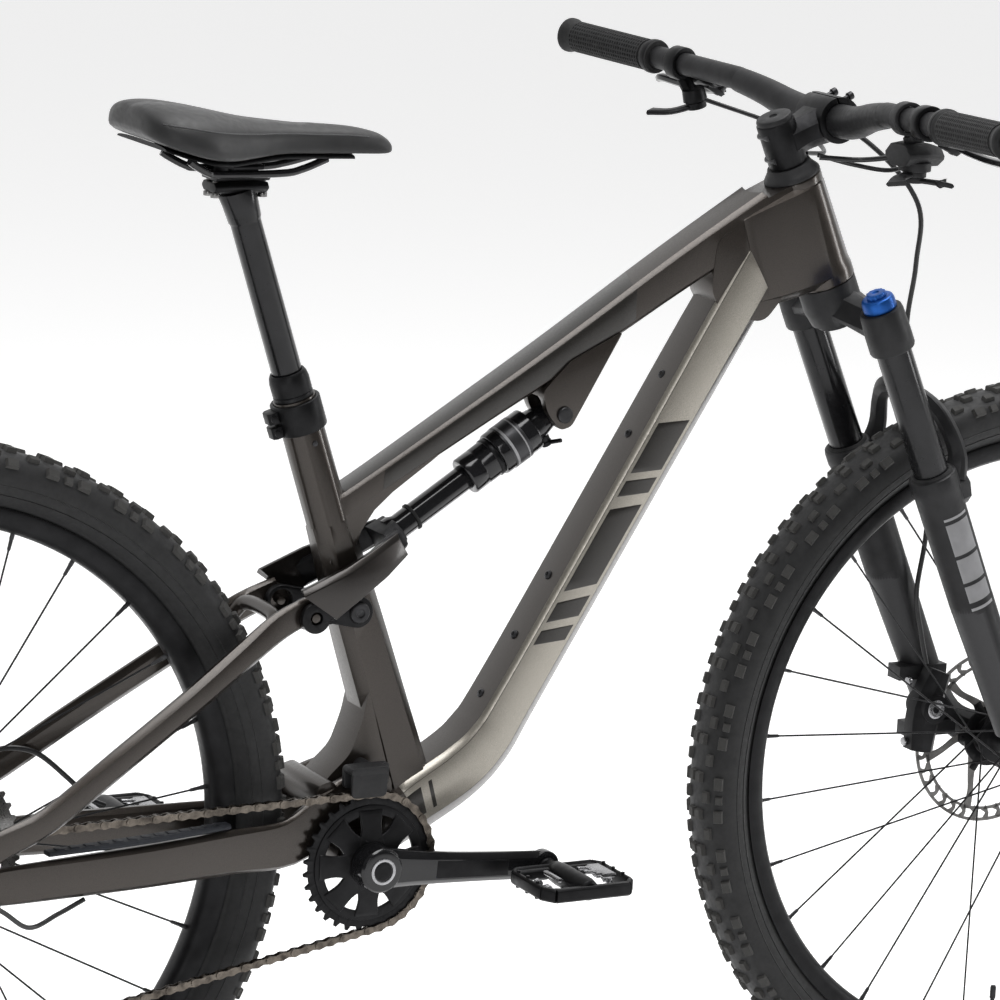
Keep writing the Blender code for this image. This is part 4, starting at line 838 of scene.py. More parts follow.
def chain_line():
    """The chain's closed centre line."""
    ring_r, cog_r, pulley_r = 65.2, 23.6, 21.6
    route = []

    def arc(centre, radius, start, end, y, steps):
        for i in range(steps + 1):
            a = math.radians(start + (end - start) * i / steps)
            route.append(Vector((centre[0] + radius * math.cos(a), y, centre[2] + radius * math.sin(a))))

    arc(BB, ring_r, 91, -80, CHAINLINE, 40)
    arc(TENSION_PULLEY, pulley_r, -80, -222, CHAIN_COG_Y, 20)
    arc(GUIDE_PULLEY, pulley_r, -42, 92, CHAIN_COG_Y, 20)
    arc(REAR_AXLE, cog_r, -100, -269, CHAIN_COG_Y, 20)
    route.append(route[0].copy())
    return route


def along_line(line, count):
    """Even points round a line."""
    lengths = [0.0]
    for a, b in zip(line, line[1:]):
        lengths.append(lengths[-1] + (b - a).length)
    places = []
    k = 0
    for i in range(count):
        want = lengths[-1] * i / count
        while lengths[k + 1] < want:
            k += 1
        f = (want - lengths[k]) / (lengths[k + 1] - lengths[k])
        places.append(line[k].lerp(line[k + 1], f))
    return places


def link_plate(start, end, y, thick, waist, radius):
    """Figure-eight side plate between two pins."""
    along = (end - start).normalized()
    up = along.cross(AXIS_Y).normalized()
    half = (end - start).length / 2
    middle = (start + end) / 2
    outline = []
    for sign in (1, -1):
        for k in range(7):
            a = math.radians(-110 + 220 * k / 6)
            outline.append(middle + along * (sign * (half + radius * math.cos(a)))
                           + up * (sign * radius * math.sin(a)))
        outline.append(middle + up * (sign * waist))
    return loft([[p + AXIS_Y * (y + t) for p in outline] for t in (-thick / 2, thick / 2)])


def make_chain():
    line = chain_line()
    total = sum((b - a).length for a, b in zip(line, line[1:]))
    count = 2 * round(total / CHAIN_PITCH / 2)
    pins = along_line(line, count)
    groups = {"chain_front": (None, []), "chain_loop": ("cage", [])}
    for i in range(count):
        a, b = pins[i], pins[(i + 1) % count]
        middle = (a + b) / 2
        outer = i % 2
        on_loop = middle.z < REAR_AXLE.z - 24 and middle.x < TENSION_PULLEY.x + 24
        parts = groups["chain_loop" if on_loop else "chain_front"][1]
        offset = 2.7 if outer else 1.85
        for side in (1, -1):
            parts.append(link_plate(a, b, side * offset, 0.8, 2.5, 3.9))
        parts.append(rod(a - AXIS_Y * 1.6, a + AXIS_Y * 1.6, 3.6, sides=12))
        parts.append(rod(a - AXIS_Y * 3.3, a + AXIS_Y * 3.3, 1.6, sides=8))
    front = make("chain_front", None, "chain_steel", groups["chain_front"][1], nodes=["chain"], bevel=0,
                 smooth=35.0)
    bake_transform(front)
    make("chain_loop", "cage", "chain_steel", groups["chain_loop"][1], bevel=0, smooth=35.0)


def make_crankset():
    ring = [sprocket(BB, 32, 66.0, CHAINLINE - 1.0, CHAINLINE + 1.0, 52.0, 4.6),
            turned([(46, CHAINLINE - 2.4), (55, CHAINLINE - 2.0), (55, CHAINLINE + 1.2), (46, CHAINLINE + 1.2)],
                   BB, AXIS_Y)]
    arm = beam([BB + Vector((18, -57.6, 0)), BB + Vector((34, -56.0, 0)), BB + Vector((50, -53.4, 0))],
               [(4.0, 27, 1), (4.0, 20, 1), (4.0, 25, 1)], steps=4)
    ring += spun(arm, BB, 8)
    ring.append(turned([(12.6, -61), (21, -61), (21, -56.6), (12.6, -56.6)], BB, AXIS_Y))
    make("chainring_toothed", "crankset", "black_alloy", ring, nodes=["chainring"], bevel=0.3, smooth=30.0)
    for name, side in (("crank_right", -1.0), ("crank_left", 1.0)):
        tip = PEDAL_R if side < 0 else PEDAL_L
        along = Vector((tip.x - BB.x, 0, tip.z - BB.z)).normalized()
        root = BB + AXIS_Y * (side * 72.0)
        end = Vector((tip.x, side * 79.0, tip.z))
        solids = [spindle([(19.5, 61.2), (21, 62.6), (21, 81), (19, 83.4), (14.6, 84)], Vector((BB.x, 0, BB.z)),
                          AXIS_Y * side),
                  beam([root + along * 4, root + along * 34 + AXIS_Y * (side * 1.5),
                        root + along * 70 + AXIS_Y * (side * 4.5),
                        root + along * 125 + AXIS_Y * (side * 6), end - along * 4],
                       [(19, 39, 7), (18, 33, 6), (15, 29, 5), (13.5, 27, 5), (12, 27, 5)], steps=4),
                  spindle([(13.4, 73.2), (14, 74), (14, 84), (13.4, 84.9)], Vector((tip.x, 0, tip.z)),
                          AXIS_Y * side)]
        if side > 0:
            solids.append(rod(BB - AXIS_Y * 60, BB + AXIS_Y * 62, 12.0))
        make(name + "_arm", "crankset", "black_gloss", solids, nodes=[name], bevel=1.0, segments=3)
        band = [beam([root + along * 56 + AXIS_Y * (side * 11.4), root + along * 130 + AXIS_Y * (side * 12.9)],
                     [(1.0, 17, 0.4), (1.0, 15, 0.4)])]
        make(name + "_panel", "crankset", "black_alloy", band, bevel=0.3)
        make(name + "_washer", "crankset", "silver",
             [turned([(9.6, side * 83.6), (12.4, side * 83.6), (12.4, side * 84.8), (9.6, side * 84.8)],
                     Vector((BB.x, 0, BB.z)), AXIS_Y),
              turned([(4.6, side * 84.6), (7.0, side * 84.6), (7.0, side * 85.4), (4.6, side * 85.4)],
                     Vector((tip.x, 0, tip.z)), AXIS_Y)], bevel=0.2)
        cap = [spindle([(9.4, 80), (9.4, 83.4), (8.4, 84.2), (4.4, 84.2)], Vector((BB.x, 0, BB.z)),
                       AXIS_Y * side)]
        make(name + "_cap", "crankset", "black_alloy", cap, bevel=0.3)


def make_pedals():
    for name, body, centre, side in (("pedal_right", "pedal_r", PEDAL_R, -1.0),
                                     ("pedal_left", "pedal_l", PEDAL_L, 1.0)):
        def at(x, y, z):
            return centre + Vector((x, side * y, z))
        cage = []
        corners = [(-46, 22), (-40, 14), (40, 14), (46, 22), (46, 76), (38, 88), (-38, 88),
                   (-46, 76)]
        for (x0, y0), (x1, y1) in zip(corners, corners[1:] + corners[:1]):
            cage.append(beam([at(x0, y0, 0), at(x1, y1, 0)], [(6, 13, 2)] * 2,
                             side=Vector((x1 - x0, side * (y1 - y0), 0))
                             .cross(Vector((0, 0, 1))).normalized()))
        for x in (-45, 45):
            for y in (28, 46, 64):
                cage.append(rod(at(x, y, -8.4), at(x, y, 8.4), 1.9))
        for y in (20, 82):
            cage.append(beam([at(-40, y, 0), at(40, y, 0)], [(8, 10, 2)] * 2))
        cage.append(spindle([(8.5, 0.4), (8.5, 3), (7.4, 4), (7.4, 14), (10, 18), (11, 30), (11, 74), (9.5, 82),
                             (7, 84)],
                            centre, AXIS_Y * side))
        make(name + "_cage", body, "black_alloy", cage, nodes=[name], bevel=0.5)
        clips = []
        for flip in (1, -1):
            clips += [beam([at(flip * 30, 34, flip * 7), at(flip * 30, 66, flip * 7)], [(14, 4.4, 1.4)] * 2,
                           side=Vector((1, 0, 0))),
                      beam([at(flip * 22, 38, flip * 7.6), at(flip * 22, 62, flip * 7.6)], [(7, 3, 1)] * 2,
                           side=Vector((1, 0, 0))),
                      beam([at(-flip * 21, 36, flip * 6.4), at(-flip * 21, 64, flip * 6.4)], [(5, 4, 1.2)] * 2,
                           side=Vector((1, 0, 0))),
                      beam([at(flip * 8, 44, flip * 9.6), at(flip * 22, 44, flip * 8.4)], [(4, 3, 0.8)] * 2),
                      beam([at(flip * 8, 56, flip * 9.6), at(flip * 22, 56, flip * 8.4)], [(4, 3, 0.8)] * 2)]
            spring, wire, step = 3.4, 0.9, 1.1      # coil radius, wire radius, radians from point to point
            for y in (37, 63):
                coil = [at(flip * (31 + spring * math.cos(t * step)),
                           y + wire * t * (0.35 if y < 50 else -0.35),
                           flip * (1.5 + spring * math.sin(t * step))) for t in range(24)]
                clips.append(pipe(coil, wire, 6))
        make(name + "_clip", body, "silver", clips, bevel=0.3)


# ---------------------------------------------------------------- frame

DOWN_DIR = Vector((0.5107, 0.0, 0.8598))
DOWN_FOOT = Vector((592.0, 0.0, 450.0))
DOWN_PATH = [BB + Vector((18, 0, 12)), Vector((500, 0, 376)), Vector((548, 0, 403)), Vector((578, 0, 430)),
             DOWN_FOOT + DOWN_DIR * 30, DOWN_FOOT + DOWN_DIR * 250, DOWN_FOOT + DOWN_DIR * 440,
             Vector((868, 0, 913))]
DOWN_SIZES = [(60, 52, 8, 16), (58, 60, 7, 16), (54, 60, 6, 15), (52, 56, 5, 14), (50, 52, 4.5, 13),
              (50, 52, 4.5, 13),
              (48, 54, 4.5, 13), (42, 52, 5, 12)]
TOP_PATH = [Vector(p) for p in ((402, 0, 655), (450, 0, 684), (560, 0, 750), (640, 0, 797.5), (760, 0, 872.5),
                                (872, 0, 937))]
TOP_SIZES = [(34, 24, 3), (34, 22, 3), (38, 25, 3), (40, 30, 3.5), (42, 36, 4), (46, 44, 5)]
EDGE_BOLTS = ((751, 769), (718, 714), (640, 583), (607, 528), (576, 473))


def patch(path, sizes, start, end, corner, inset=0.08, slant=0.0, lift=0.35, thick=0.9, steps=8):
    """Thin panel on one facet of a smoothed beam; slant skews its ends along the beam."""
    rings = []
    for k in range(steps + 1):
        rails = []
        for edge in (0, 1):
            t = start + (end - start) * k / steps + slant * edge
            point = spline(path, t)
            tangent = (spline(path, t + 0.01) - spline(path, t - 0.01)).normalized()
            up = tangent.cross(AXIS_Y)
            ring = chamfered(*spline(sizes, t))
            (a0, b0), (a1, b1) = ring[corner], ring[(corner + 1) % 8]
            length = math.hypot(a1 - a0, b1 - b0)
            nx, ny = (b1 - b0) / length, (a0 - a1) / length
            if nx * (a0 + a1) + ny * (b0 + b1) < 0:
                nx, ny = -nx, -ny
            u = inset if edge == 0 else 1 - inset
            a, b = a0 + (a1 - a0) * u, b0 + (b1 - b0) * u
            rails.append([point + AXIS_Y * (a + nx * h) + up * (b + ny * h) for h in (lift - thick, lift)])
        rings.append([rails[0][0], rails[1][0], rails[1][1], rails[0][1]])
    return loft(rings)


def make_frame():
    down = beam(DOWN_PATH, DOWN_SIZES, steps=5)
    top = beam(TOP_PATH, TOP_SIZES, steps=4)
    tube = rod(seat(70), seat(452), 21.0, 19.5)
    lower_seat = beam([seat(50), seat(140), seat(240), seat(330)],
                      [(48, 50, 8), (46.5, 47, 9), (44, 44, 10), (39, 39, 12)], steps=4)
    head = spindle([(28.2, 545), (29, 546.5), (29, 556), (27.4, 566), (26.6, 600), (26.2, 640), (27.4, 648),
                    (27.4, 653.6), (26.6, 655)], STEER_BASE, STEER_UP)
    junction = plate(rounded([(449, 505), (441, 462), (430, 432), (408, 412), (398, 398), (402, 380),
                              (424, 362),
                              (438, 340), (480, 340), (512, 372), (528, 402), (500, 420), (487, 440),
                              (478, 470),
                              (472, 505)], 9), -22.4, 22.4)
    shroud_stations = ((25, 548, 652, 12), (15, 546, 654, 23.5), (0, 546, 655, 28.2), (-22, 548, 655, 27.4),
                       (-48, 551, 656, 25.0), (-78, 557, 656, 22.8))
    shroud = beam([steer((low + high) / 2, f) for f, low, high, _ in shroud_stations],
                  [(2 * half, high - low, 9) for _, low, high, half in shroud_stations], steps=5)
    head_web = plate(rounded([(786, 850), (800, 828), (846, 818), (872, 850), (860, 930), (790, 900)], 12), -22,
                     22)
    corner_web = plate([(404, 612), (422, 602), (426, 620), (434, 641), (446, 659), (464, 675), (484, 689),
                        (504, 703),
                        (522, 717), (486, 704), (412, 664)], -16.7, 16.7)
    gusset = plate(rounded([(612, 762), (618, 742), (632, 725), (644, 728), (652, 742), (694, 816), (640, 790)],
                           6),
                   -22, 22)
    solids = [down, top, tube, lower_seat, head, shroud, head_web, corner_web, junction, gusset,
              across(BB, -36.5, 36.5, 24.0),
              across(ROCKER_PIVOT, -22.7, 22.7, 14.0), across(MAIN_PIVOT, -24.6, 24.6, 17.0)]
    cuts = [rod(steer(540), steer(660), 21.5), rod(steer(655.2), steer(700), 48.0),
            rod(seat(278), seat(470), 15.8), across(BB, -40, 40, 18.3),
            across(ROCKER_PIVOT, -40, 40, 7.8), across(MAIN_PIVOT, -40, 40, 7.8),
            beam([shock_at(-16), shock_at(40), shock_at(75)], [(27, 52, 4)] * 3)]
    make("frame_shell", "front_frame", "frame_paint", solids, cuts, nodes=["frame"], bevel=1.3, smooth=26.0,
         unite=True, segments=3)
    panels = []
    panels.append(patch(TOP_PATH, TOP_SIZES, 0.5, 3.7, 2, inset=0.01, slant=-0.08, lift=0.25, steps=24))
    panels.append(patch(TOP_PATH, TOP_SIZES, 1.1, 3.62, 4, inset=0.03, slant=-0.1, lift=0.25, steps=24))
    make("frame_panels", "front_frame", "panel_paint", panels, bevel=0.2)
    bolts = []
    up = Vector((-DOWN_DIR.z, 0.0, DOWN_DIR.x))
    for x, z in EDGE_BOLTS:
        spot = Vector((x, 0.0, z))
        foot = DOWN_FOOT + DOWN_DIR * (spot - DOWN_FOOT).dot(DOWN_DIR) + up * 25.6
        bolts.append(turned([(1.8, 0), (4.6, 0), (4.2, 1.8), (2.6, 2.6), (1.8, 1.4)], foot, up))
        bolts.append(rod(foot - up, foot + up * 0.9, 1.9))
    hole = seat(410)
    bolts.append(rod(hole - AXIS_Y * 20.6, hole - AXIS_Y * 18.0, 2.6))
    for y in (20.5, -20.5):
        sign = 1 if y > 0 else -1
        bolts.append(spindle([(7.7, 20.5), (7.7, 24.4), (6.8, 25.4), (3.0, 25.4)],
                             Vector((SHOCK_EYE.x, 0, SHOCK_EYE.z)),
                             AXIS_Y * sign))
    bolts.append(across(SHOCK_EYE, -24.5, 24.5, 5.0))
    make("frame_bolts", "front_frame", "dark_alloy", bolts, bevel=0.2)
    # Pale patches on the down tube's upper near chamfer and near side face: a painted reflection of the bright
    # floor.
    facet = [patch(DOWN_PATH, DOWN_SIZES, 0.9, 6.5, facet, inset=0.01, lift=0.2, thick=0.8,
                   steps=40) for facet in (3, 4)]
    make("down_tube_painted_reflection", "front_frame", "painted_reflection", facet, bevel=0.1)
    stripes = []
    for start, end in ((4.25, 4.32), (4.36, 4.45), (4.50, 4.86), (4.92, 5.0), (5.04, 5.3)):
        stripes.append(patch(DOWN_PATH, DOWN_SIZES, start, end, 4, inset=0.1, slant=0.09, lift=0.5))
    for start, end in ((0.25, 1.2), (1.35, 1.42)):
        stripes.append(patch(DOWN_PATH, DOWN_SIZES, start, end, 4, inset=0.16, slant=-0.1, lift=0.5))
    make("frame_stripes", "front_frame", "panel_paint", stripes, bevel=0.15)


def rounded(outline, radius, steps=5):
    """Outline with its corners rounded."""
    result = []
    count = len(outline)
    for i in range(count):
        before, here, after = (Vector(outline[(i + k) % count]) for k in (-1, 0, 1))
        back, ahead = before - here, after - here
        reach = min(radius, back.length * 0.4, ahead.length * 0.4)
        start, end = here + back.normalized() * reach, here + ahead.normalized() * reach
        for k in range(steps + 1):
            t = k / steps
            result.append(tuple(start * (1 - t) ** 2 + here * (2 * t * (1 - t)) + end * t ** 2))
    return result


def make_fittings():
    for side in (1, -1):
        make("bb_cup_" + ("left" if side > 0 else "right"), "front_frame", "dark_alloy",
             [turned([(12.4, side * 36.8), (21.5, side * 36.8), (21.5, side * 39.6), (20.4, side * 40.5),
                      (12.4, side * 40.5)],
                     BB, AXIS_Y)] + ([turned([(12.4, -36.8), (18, -36.8), (18, 36.8), (12.4, 36.8)], BB,
                                             AXIS_Y)]
                                     if side > 0 else []), nodes=["bottom_bracket"] if side > 0 else (),
                                     bevel=0.3)
    rear = -Vector((SEAT_UP.z, 0.0, -SEAT_UP.x))
    collar = [turned([(19.8, 421), (22.6, 421), (23.2, 422), (23.2, 449), (22.6, 450), (19.8, 450)], SEAT_BASE,
                     SEAT_UP)]
    for z in (428, 442):
        collar.append(beam([seat(z - 5.4) + rear * 25.6, seat(z + 5.4) + rear * 25.6], [(16, 12, 3)] * 2))
        for y in (1, -1):
            collar.append(rod(seat(z) + rear * 27 + AXIS_Y * (y * 7), seat(z) + rear * 27 + AXIS_Y * (y * 9.4),
                              3.2))
    make("seat_collar", "front_frame", "black_alloy", collar, nodes=["seat_clamp"], bevel=0.5)
    make("dropper_collar", "front_frame", "black_alloy",
         [turned([(14.3, 280), (15.45, 280), (15.45, 452.4), (18.4, 452.4), (18.4, 456), (17.8, 456.6),
                  (18.4, 457.2),
                  (18.4, 469), (17.4, 474), (15.8, 477), (14.3, 477)], SEAT_BASE, SEAT_UP)],
         nodes=["dropper_outer"], bevel=0.2)
    bolt = Vector((440, 0, 421))
    guide = [across(bolt, -22.4, -46.4, 7.5),
             plate(rounded([(413, 407), (459, 407), (459, 429), (413, 429)], 5), -45.7, -40.7),
             plate(rounded([(413, 422.5), (451, 422.5), (451, 429.5), (413, 429.5)], 3), -61.0, -43.0),
             plate(rounded([(414, 401), (450, 401), (450, 427), (414, 427)], 6), -60.9, -57.5)]
    make("chain_guide_shell", "front_frame", "black_plastic", guide, nodes=["chain_guide"], bevel=0.8,
         segments=3)
    make("chain_guide_bolt", "front_frame", "silver",
         [turned([(2.2, -46.2), (5.2, -46.2), (4.6, -48.2), (2.2, -48.2)], bolt, AXIS_Y)], bevel=0.2)
    make("headset_cone", "steering", "black_plastic",
         [turned([(15.0, 655.5), (27.5, 655.5), (27.2, 657.4), (25.0, 660.4), (22.0, 664.4), (20.8, 667.6),
                  (15.0, 667.6)],
                 STEER_BASE, STEER_UP)], nodes=["headset_cover"], bevel=0.3)


# ---------------------------------------------------------------- rear end

ARM_PATH = [(42, 68.4, 352), (70, 68.4, 354), (130, 67, 356), (210, 60, 357), (300, 48, 358), (362, 41.8, 360),
            (404, 37, 384), (430, 31.5, 398), (447, 31.0, 402)]
ARM_SIZES = [(7.4, 26, 2.5), (7.6, 34, 2.5), (11, 37, 4), (14, 39, 4.5), (11, 42, 4.5), (9.4, 44, 3),
             (10, 44, 3),
             (11, 38, 3), (11, 30, 3)]
STAY_PATH = [(20, 78.3, 368), (60, 78.0, 392), (110, 75, 413), (180, 67, 458.5), (250, 57.5, 503.5),
             (310, 46.5, 542.5), (345, 40.0, 564), (378, 37.2, 578)]
STAY_SIZES = [(7.2, 30, 3), (7.4, 27, 3), (11, 24, 4), (14, 24, 5.2), (14, 24, 5.2), (12, 25, 4.6),
              (9.0, 26, 3.4),
              (7.4, 24, 2.5)]


def make_rear_end():
    arm = beam([Vector(p) for p in ARM_PATH], ARM_SIZES, steps=4)
    solids = both(arm) + both(across(MAIN_PIVOT, 25.0, 36.6, 20.0)) + both(across(HORST_PIVOT, 64.7, 72.1,
            15.0))
    solids += [plate(rounded([(386, 384), (404, 378), (411, 384), (413, 402), (404, 414), (390, 410)], 5), -40,
                     40),
               across(MAIN_PIVOT, -34, 34, 7.5)]
    make("chainstay_arms", "swingarm", "frame_paint", solids, both(across(HORST_PIVOT, 60, 76, 5.3)),
         nodes=["chainstay"], bevel=1.0, smooth=26.0, unite=True, segments=3)
    covers = []
    for side in (1, -1):
        covers.append(spindle([(14.6, 36.4), (14.6, 37.6), (13.6, 38.6), (6.2, 38.6), (5.4, 37.2), (0.1, 37.2)],
                              Vector((MAIN_PIVOT.x, 0, MAIN_PIVOT.z)), AXIS_Y * side))
    make("main_pivot_caps", "swingarm", "dark_alloy", covers, bevel=0.2)
    guard_path = [Vector(p) for p in ((112, -67.6, 380.4), (210, -60, 382.0), (296, -48.8, 383.8))]
    guard = [beam(guard_path, [(13, 4.4, 1.8), (16, 5.2, 2.0), (12, 5.2, 2.0)], steps=8)]
    for k in range(13):
        spot = spline(guard_path, 0.12 + 1.76 * k / 12)
        guard.append(beam([spot + Vector((-4, 0, 2.1)), spot + Vector((4, 0, 2.1))], [(9, 2.4, 1.0)] * 2))
    make("chainstay_pad", "swingarm", "guard_rubber", guard, nodes=["chainstay_guard"], bevel=0.5, segments=3)
    stay = beam([Vector(p) for p in STAY_PATH], STAY_SIZES, steps=4)
    dropout = plate(rounded([(-16, 380), (-14, 362), (-4, 352), (14, 346), (30, 337), (46, 336), (57, 346),
                             (58, 360),
                             (60, 386), (34, 392), (12, 391), (-8, 390)], 6), 74.4, 82.2)
    solids = both(stay) + both(dropout)
    solids += both(across(STAY_PIVOT, 33.4, 41.0, 13.5)) + both(across(STAY_PIVOT, 24.0, 48.6, 4.0))
    solids += [pipe(smooth_path([(334, -38, 558), (343, -27, 570), (343, 27, 570), (334, 38, 558)], 5), 7.0),
               plate(rounded([(-8, 360), (-6, 338), (4, 326), (16, 326), (22, 342), (22, 360)], 4), -82.2,
                     -75.4)]
    make("seatstay_arms", "seatstays", "frame_paint", solids, nodes=["seatstay"], bevel=0.9, smooth=26.0,
         unite=True,
         segments=3)
    hardware = both(across(HORST_PIVOT, 64.9, 80.0, 5.0))
    for side in (1, -1):
        for centre, radius, y in ((HORST_PIVOT, 9.0, 84.0), (REAR_AXLE, 10.0, 86.8)):
            hardware.append(spindle([(radius, 81.0), (radius, y - 1), (radius - 1, y), (radius * 0.5, y),
                                     (radius * 0.42, y - 1.6), (0.1, y - 1.6)],
                                    Vector((centre.x, 0, centre.z)), AXIS_Y * side))
    hardware.append(across(REAR_AXLE, -85, 85, 6.0))
    make("stay_hardware", "seatstays", "dark_alloy", hardware, bevel=0.2)
    y = 58.8
    slot = turned([(60, y - 2.2), (96, y - 2.2), (96, y + 2.2), (60, y + 2.2)], REAR_AXLE, AXIS_Y)
    make("rear_caliper_shell", "seatstays", "black_alloy",
         [beam([Vector((38, y + 1, 430)), Vector((62, y + 1, 432)), Vector((90, y + 1, 424))],
               [(24, 24, 6), (28, 30, 7), (24, 22, 6)], steps=3), across((62, 0, 430), y - 17, y + 14.6, 14.0)],
         [slot], nodes=["rear_caliper"], bevel=0.8, unite=True)
    make("rear_caliper_bolts", "seatstays", "silver",
         [across((x, 0, z), y + 13.0, y + 15.6, 4.0) for x, z in ((42, 430), (84, 425))] +
         [turned([(3.6, y + 14.4), (9.6, y + 14.4), (9.2, y + 15.4), (3.6, y + 15.4)], Vector((62, 0, 430)),
                 AXIS_Y)],
         bevel=0.3)


def make_linkage():
    for side in (1, -1):
        y0, y1 = side * 23.3, side * 31.1
        plates = [loft([[Vector((x, y, z)) for x, z in link_outline(14.5, 14.5, 10.0)] for y in (y0, y1)]),
                  across(ROCKER_PIVOT, side * 31.0, side * 33.2, 10.0)]
        if side > 0:
            plates.append(across(ROCKER_PIVOT, -28, 28, 7.4))
        make("rocker_plate_" + ("left" if side > 0 else "right"), "rocker", "black_alloy", plates,
             [across(STAY_PIVOT, 20 * side, 40 * side, 10.8)], nodes=["rocker_link"] if side > 0 else (),
             bevel=0.9,
             unite=True, segments=3)
    caps = []
    for side in (1, -1):
        caps.append(spindle([(9.4, 33.0), (9.4, 33.8), (8.4, 34.6), (4.4, 34.6), (3.8, 33.4), (0.1, 33.4)],
                            Vector((ROCKER_PIVOT.x, 0, ROCKER_PIVOT.z)), AXIS_Y * side))
    make("rocker_caps", "rocker", "dark_alloy", caps, bevel=0.2)

    def can(profile):
        return spindle(profile, SHOCK_EYE, SHOCK_DIR)

    body = [across(SHOCK_EYE, -12.4, 12.4, 11.0), can([(10.5, 4), (12.5, 10), (15.5, 22), (16.4, 30)]),
            can([(17.5, 28), (21.0, 29.5), (21.5, 31), (21.5, 70), (20.8, 71.6), (18.6, 72.4)]),
            can([(18.5, 71), (18.5, 90), (17.9, 91), (18.5, 92), (18.5, 105.5), (17.4, 107)])]
    make("shock_air_can", "shock_body", "black_gloss", body,
         [across(SHOCK_EYE, -20, 20, 5.3), rod(shock_at(40), shock_at(120), 12.3)], nodes=["shock_can"],
         bevel=0.4,
         unite=True)
    port_axis = Vector((10, 0, -17)).normalized()
    port = shock_at(20)
    extras = [rod(port + port_axis * 8, port + port_axis * 19.7, 6.0, 5.0),
              turned([(16.6, 72.6), (19.0, 72.6), (19.4, 73.4), (19.4, 76.6), (19.0, 77.4), (16.6, 77.4)],
                     SHOCK_EYE, SHOCK_DIR)]
    make("shock_port", "shock_body", "black_alloy", extras, bevel=0.3)
    label = turned([(21.4, 42), (21.8, 42), (21.8, 62), (21.4, 62)], SHOCK_EYE, SHOCK_DIR, 96)
    bars = [turned([(21.7, a), (21.95, a), (21.95, b), (21.7, b)], SHOCK_EYE, SHOCK_DIR, 96) for a,
            b in ((45, 46.4), (57.4, 60))]
    make("shock_label", "shock_body", "dark_alloy", [label], bevel=0)
    make("shock_label_bars", "shock_body", "pale_decal", bars, bevel=0)
    lever_foot = port + Vector((10, 0, -17))
    make("shock_switch_lever", "shock_switch", "black_alloy",
         [spindle([(5.5, 0.4), (5.5, 4.2), (4.8, 5.0), (1.6, 5.0)], lever_foot, port_axis),
          beam([lever_foot + port_axis * 2.7, lever_foot + port_axis * 2.7 + Vector((8, -14, 4.7))],
               [(4, 5, 1.4), (4, 4, 1.4)],
               side=port_axis)], nodes=["shock_lever"], bevel=0.4, segments=3)
    eye = shock_at(SHOCK_LENGTH)
    reach = SHOCK_DIR * -1
    arms = both(beam([STAY_PIVOT + AXIS_Y * 46.4, STAY_PIVOT + reach * 27 + AXIS_Y * 46.4,
                      STAY_PIVOT + reach * 58 + AXIS_Y * 36, eye + AXIS_Y * 25.5,
                      shock_at(SHOCK_LENGTH - 15) + AXIS_Y * 20.5],
                     [(6.2, 22, 2.6), (6.2, 26, 2.8), (7, 26, 3), (8, 24, 3), (10, 20, 3)], steps=4))
    yoke = arms + both(across(STAY_PIVOT, 43.3, 49.5, 14.0))
    yoke += [beam([shock_at(SHOCK_LENGTH - 2), shock_at(SHOCK_LENGTH - 20)], [(48, 24, 6), (40, 26, 8)])]
    make("shock_tube", "shock_shaft", "black_gloss",
         [spindle([(12.0, 94), (12.0, 186), (14.5, 191), (14.5, 197)], SHOCK_EYE, SHOCK_DIR)], bevel=0.3)
    make("shock_yoke", "shock_shaft", "black_alloy", yoke, both(across(STAY_PIVOT, 42, 52, 6.2)),
         nodes=["shock_shaft_yoke"], bevel=0.9, unite=True, segments=3)
    stations = (((-14, 26), (19.5, -2.2), 50.6), ((30, 44), (46, 17), 50.6), ((60, 56), (74, 32), 41.5),
                ((90, 69), (100, 49), 30.5))
    for side in (1, -1):
        rings = []
        for (top_x, top_z), (low_x, low_z), y in stations:
            rings.append([STAY_PIVOT + Vector((x, side * across_y, z)) for x, z, across_y in
                          ((low_x, low_z, y), (top_x, top_z - 5, y), (top_x, top_z, y - 4.5),
                           (top_x, top_z, y - 9),
                           (low_x, low_z, y - 9))])
        make("yoke_cover_" + ("left" if side > 0 else "right"), "shock_shaft", "dark_paint", [loft(rings)],
             bevel=0.7,
             segments=3)
    make("shock_ring", "shock_shaft", "rubber_black",
         [turned([(11.9, 168), (13.4, 168.4), (13.4, 170.8), (11.9, 171.2)], SHOCK_EYE, SHOCK_DIR)], bevel=0.2)


def link_outline(r_front, r_rear, waist):
    """Dog-bone between the rocker pivot and the stay pivot, in X and Z."""
    a = Vector((ROCKER_PIVOT.x, ROCKER_PIVOT.z))
    b = Vector((STAY_PIVOT.x, STAY_PIVOT.z))
    along = (b - a).normalized()
    up = Vector((-along.y, along.x))
    points = []
    for centre, radius, flip in ((a, r_front, -1.0), (b, r_rear, 1.0)):
        for k in range(17):
            t = math.radians(-105 + 210 * k / 16)
            points.append(centre + along * (flip * radius * math.cos(t)) + up * (flip * radius * math.sin(t)))
        points.append((a + b) / 2 + up * (flip * waist))
    return [tuple(p) for p in points]


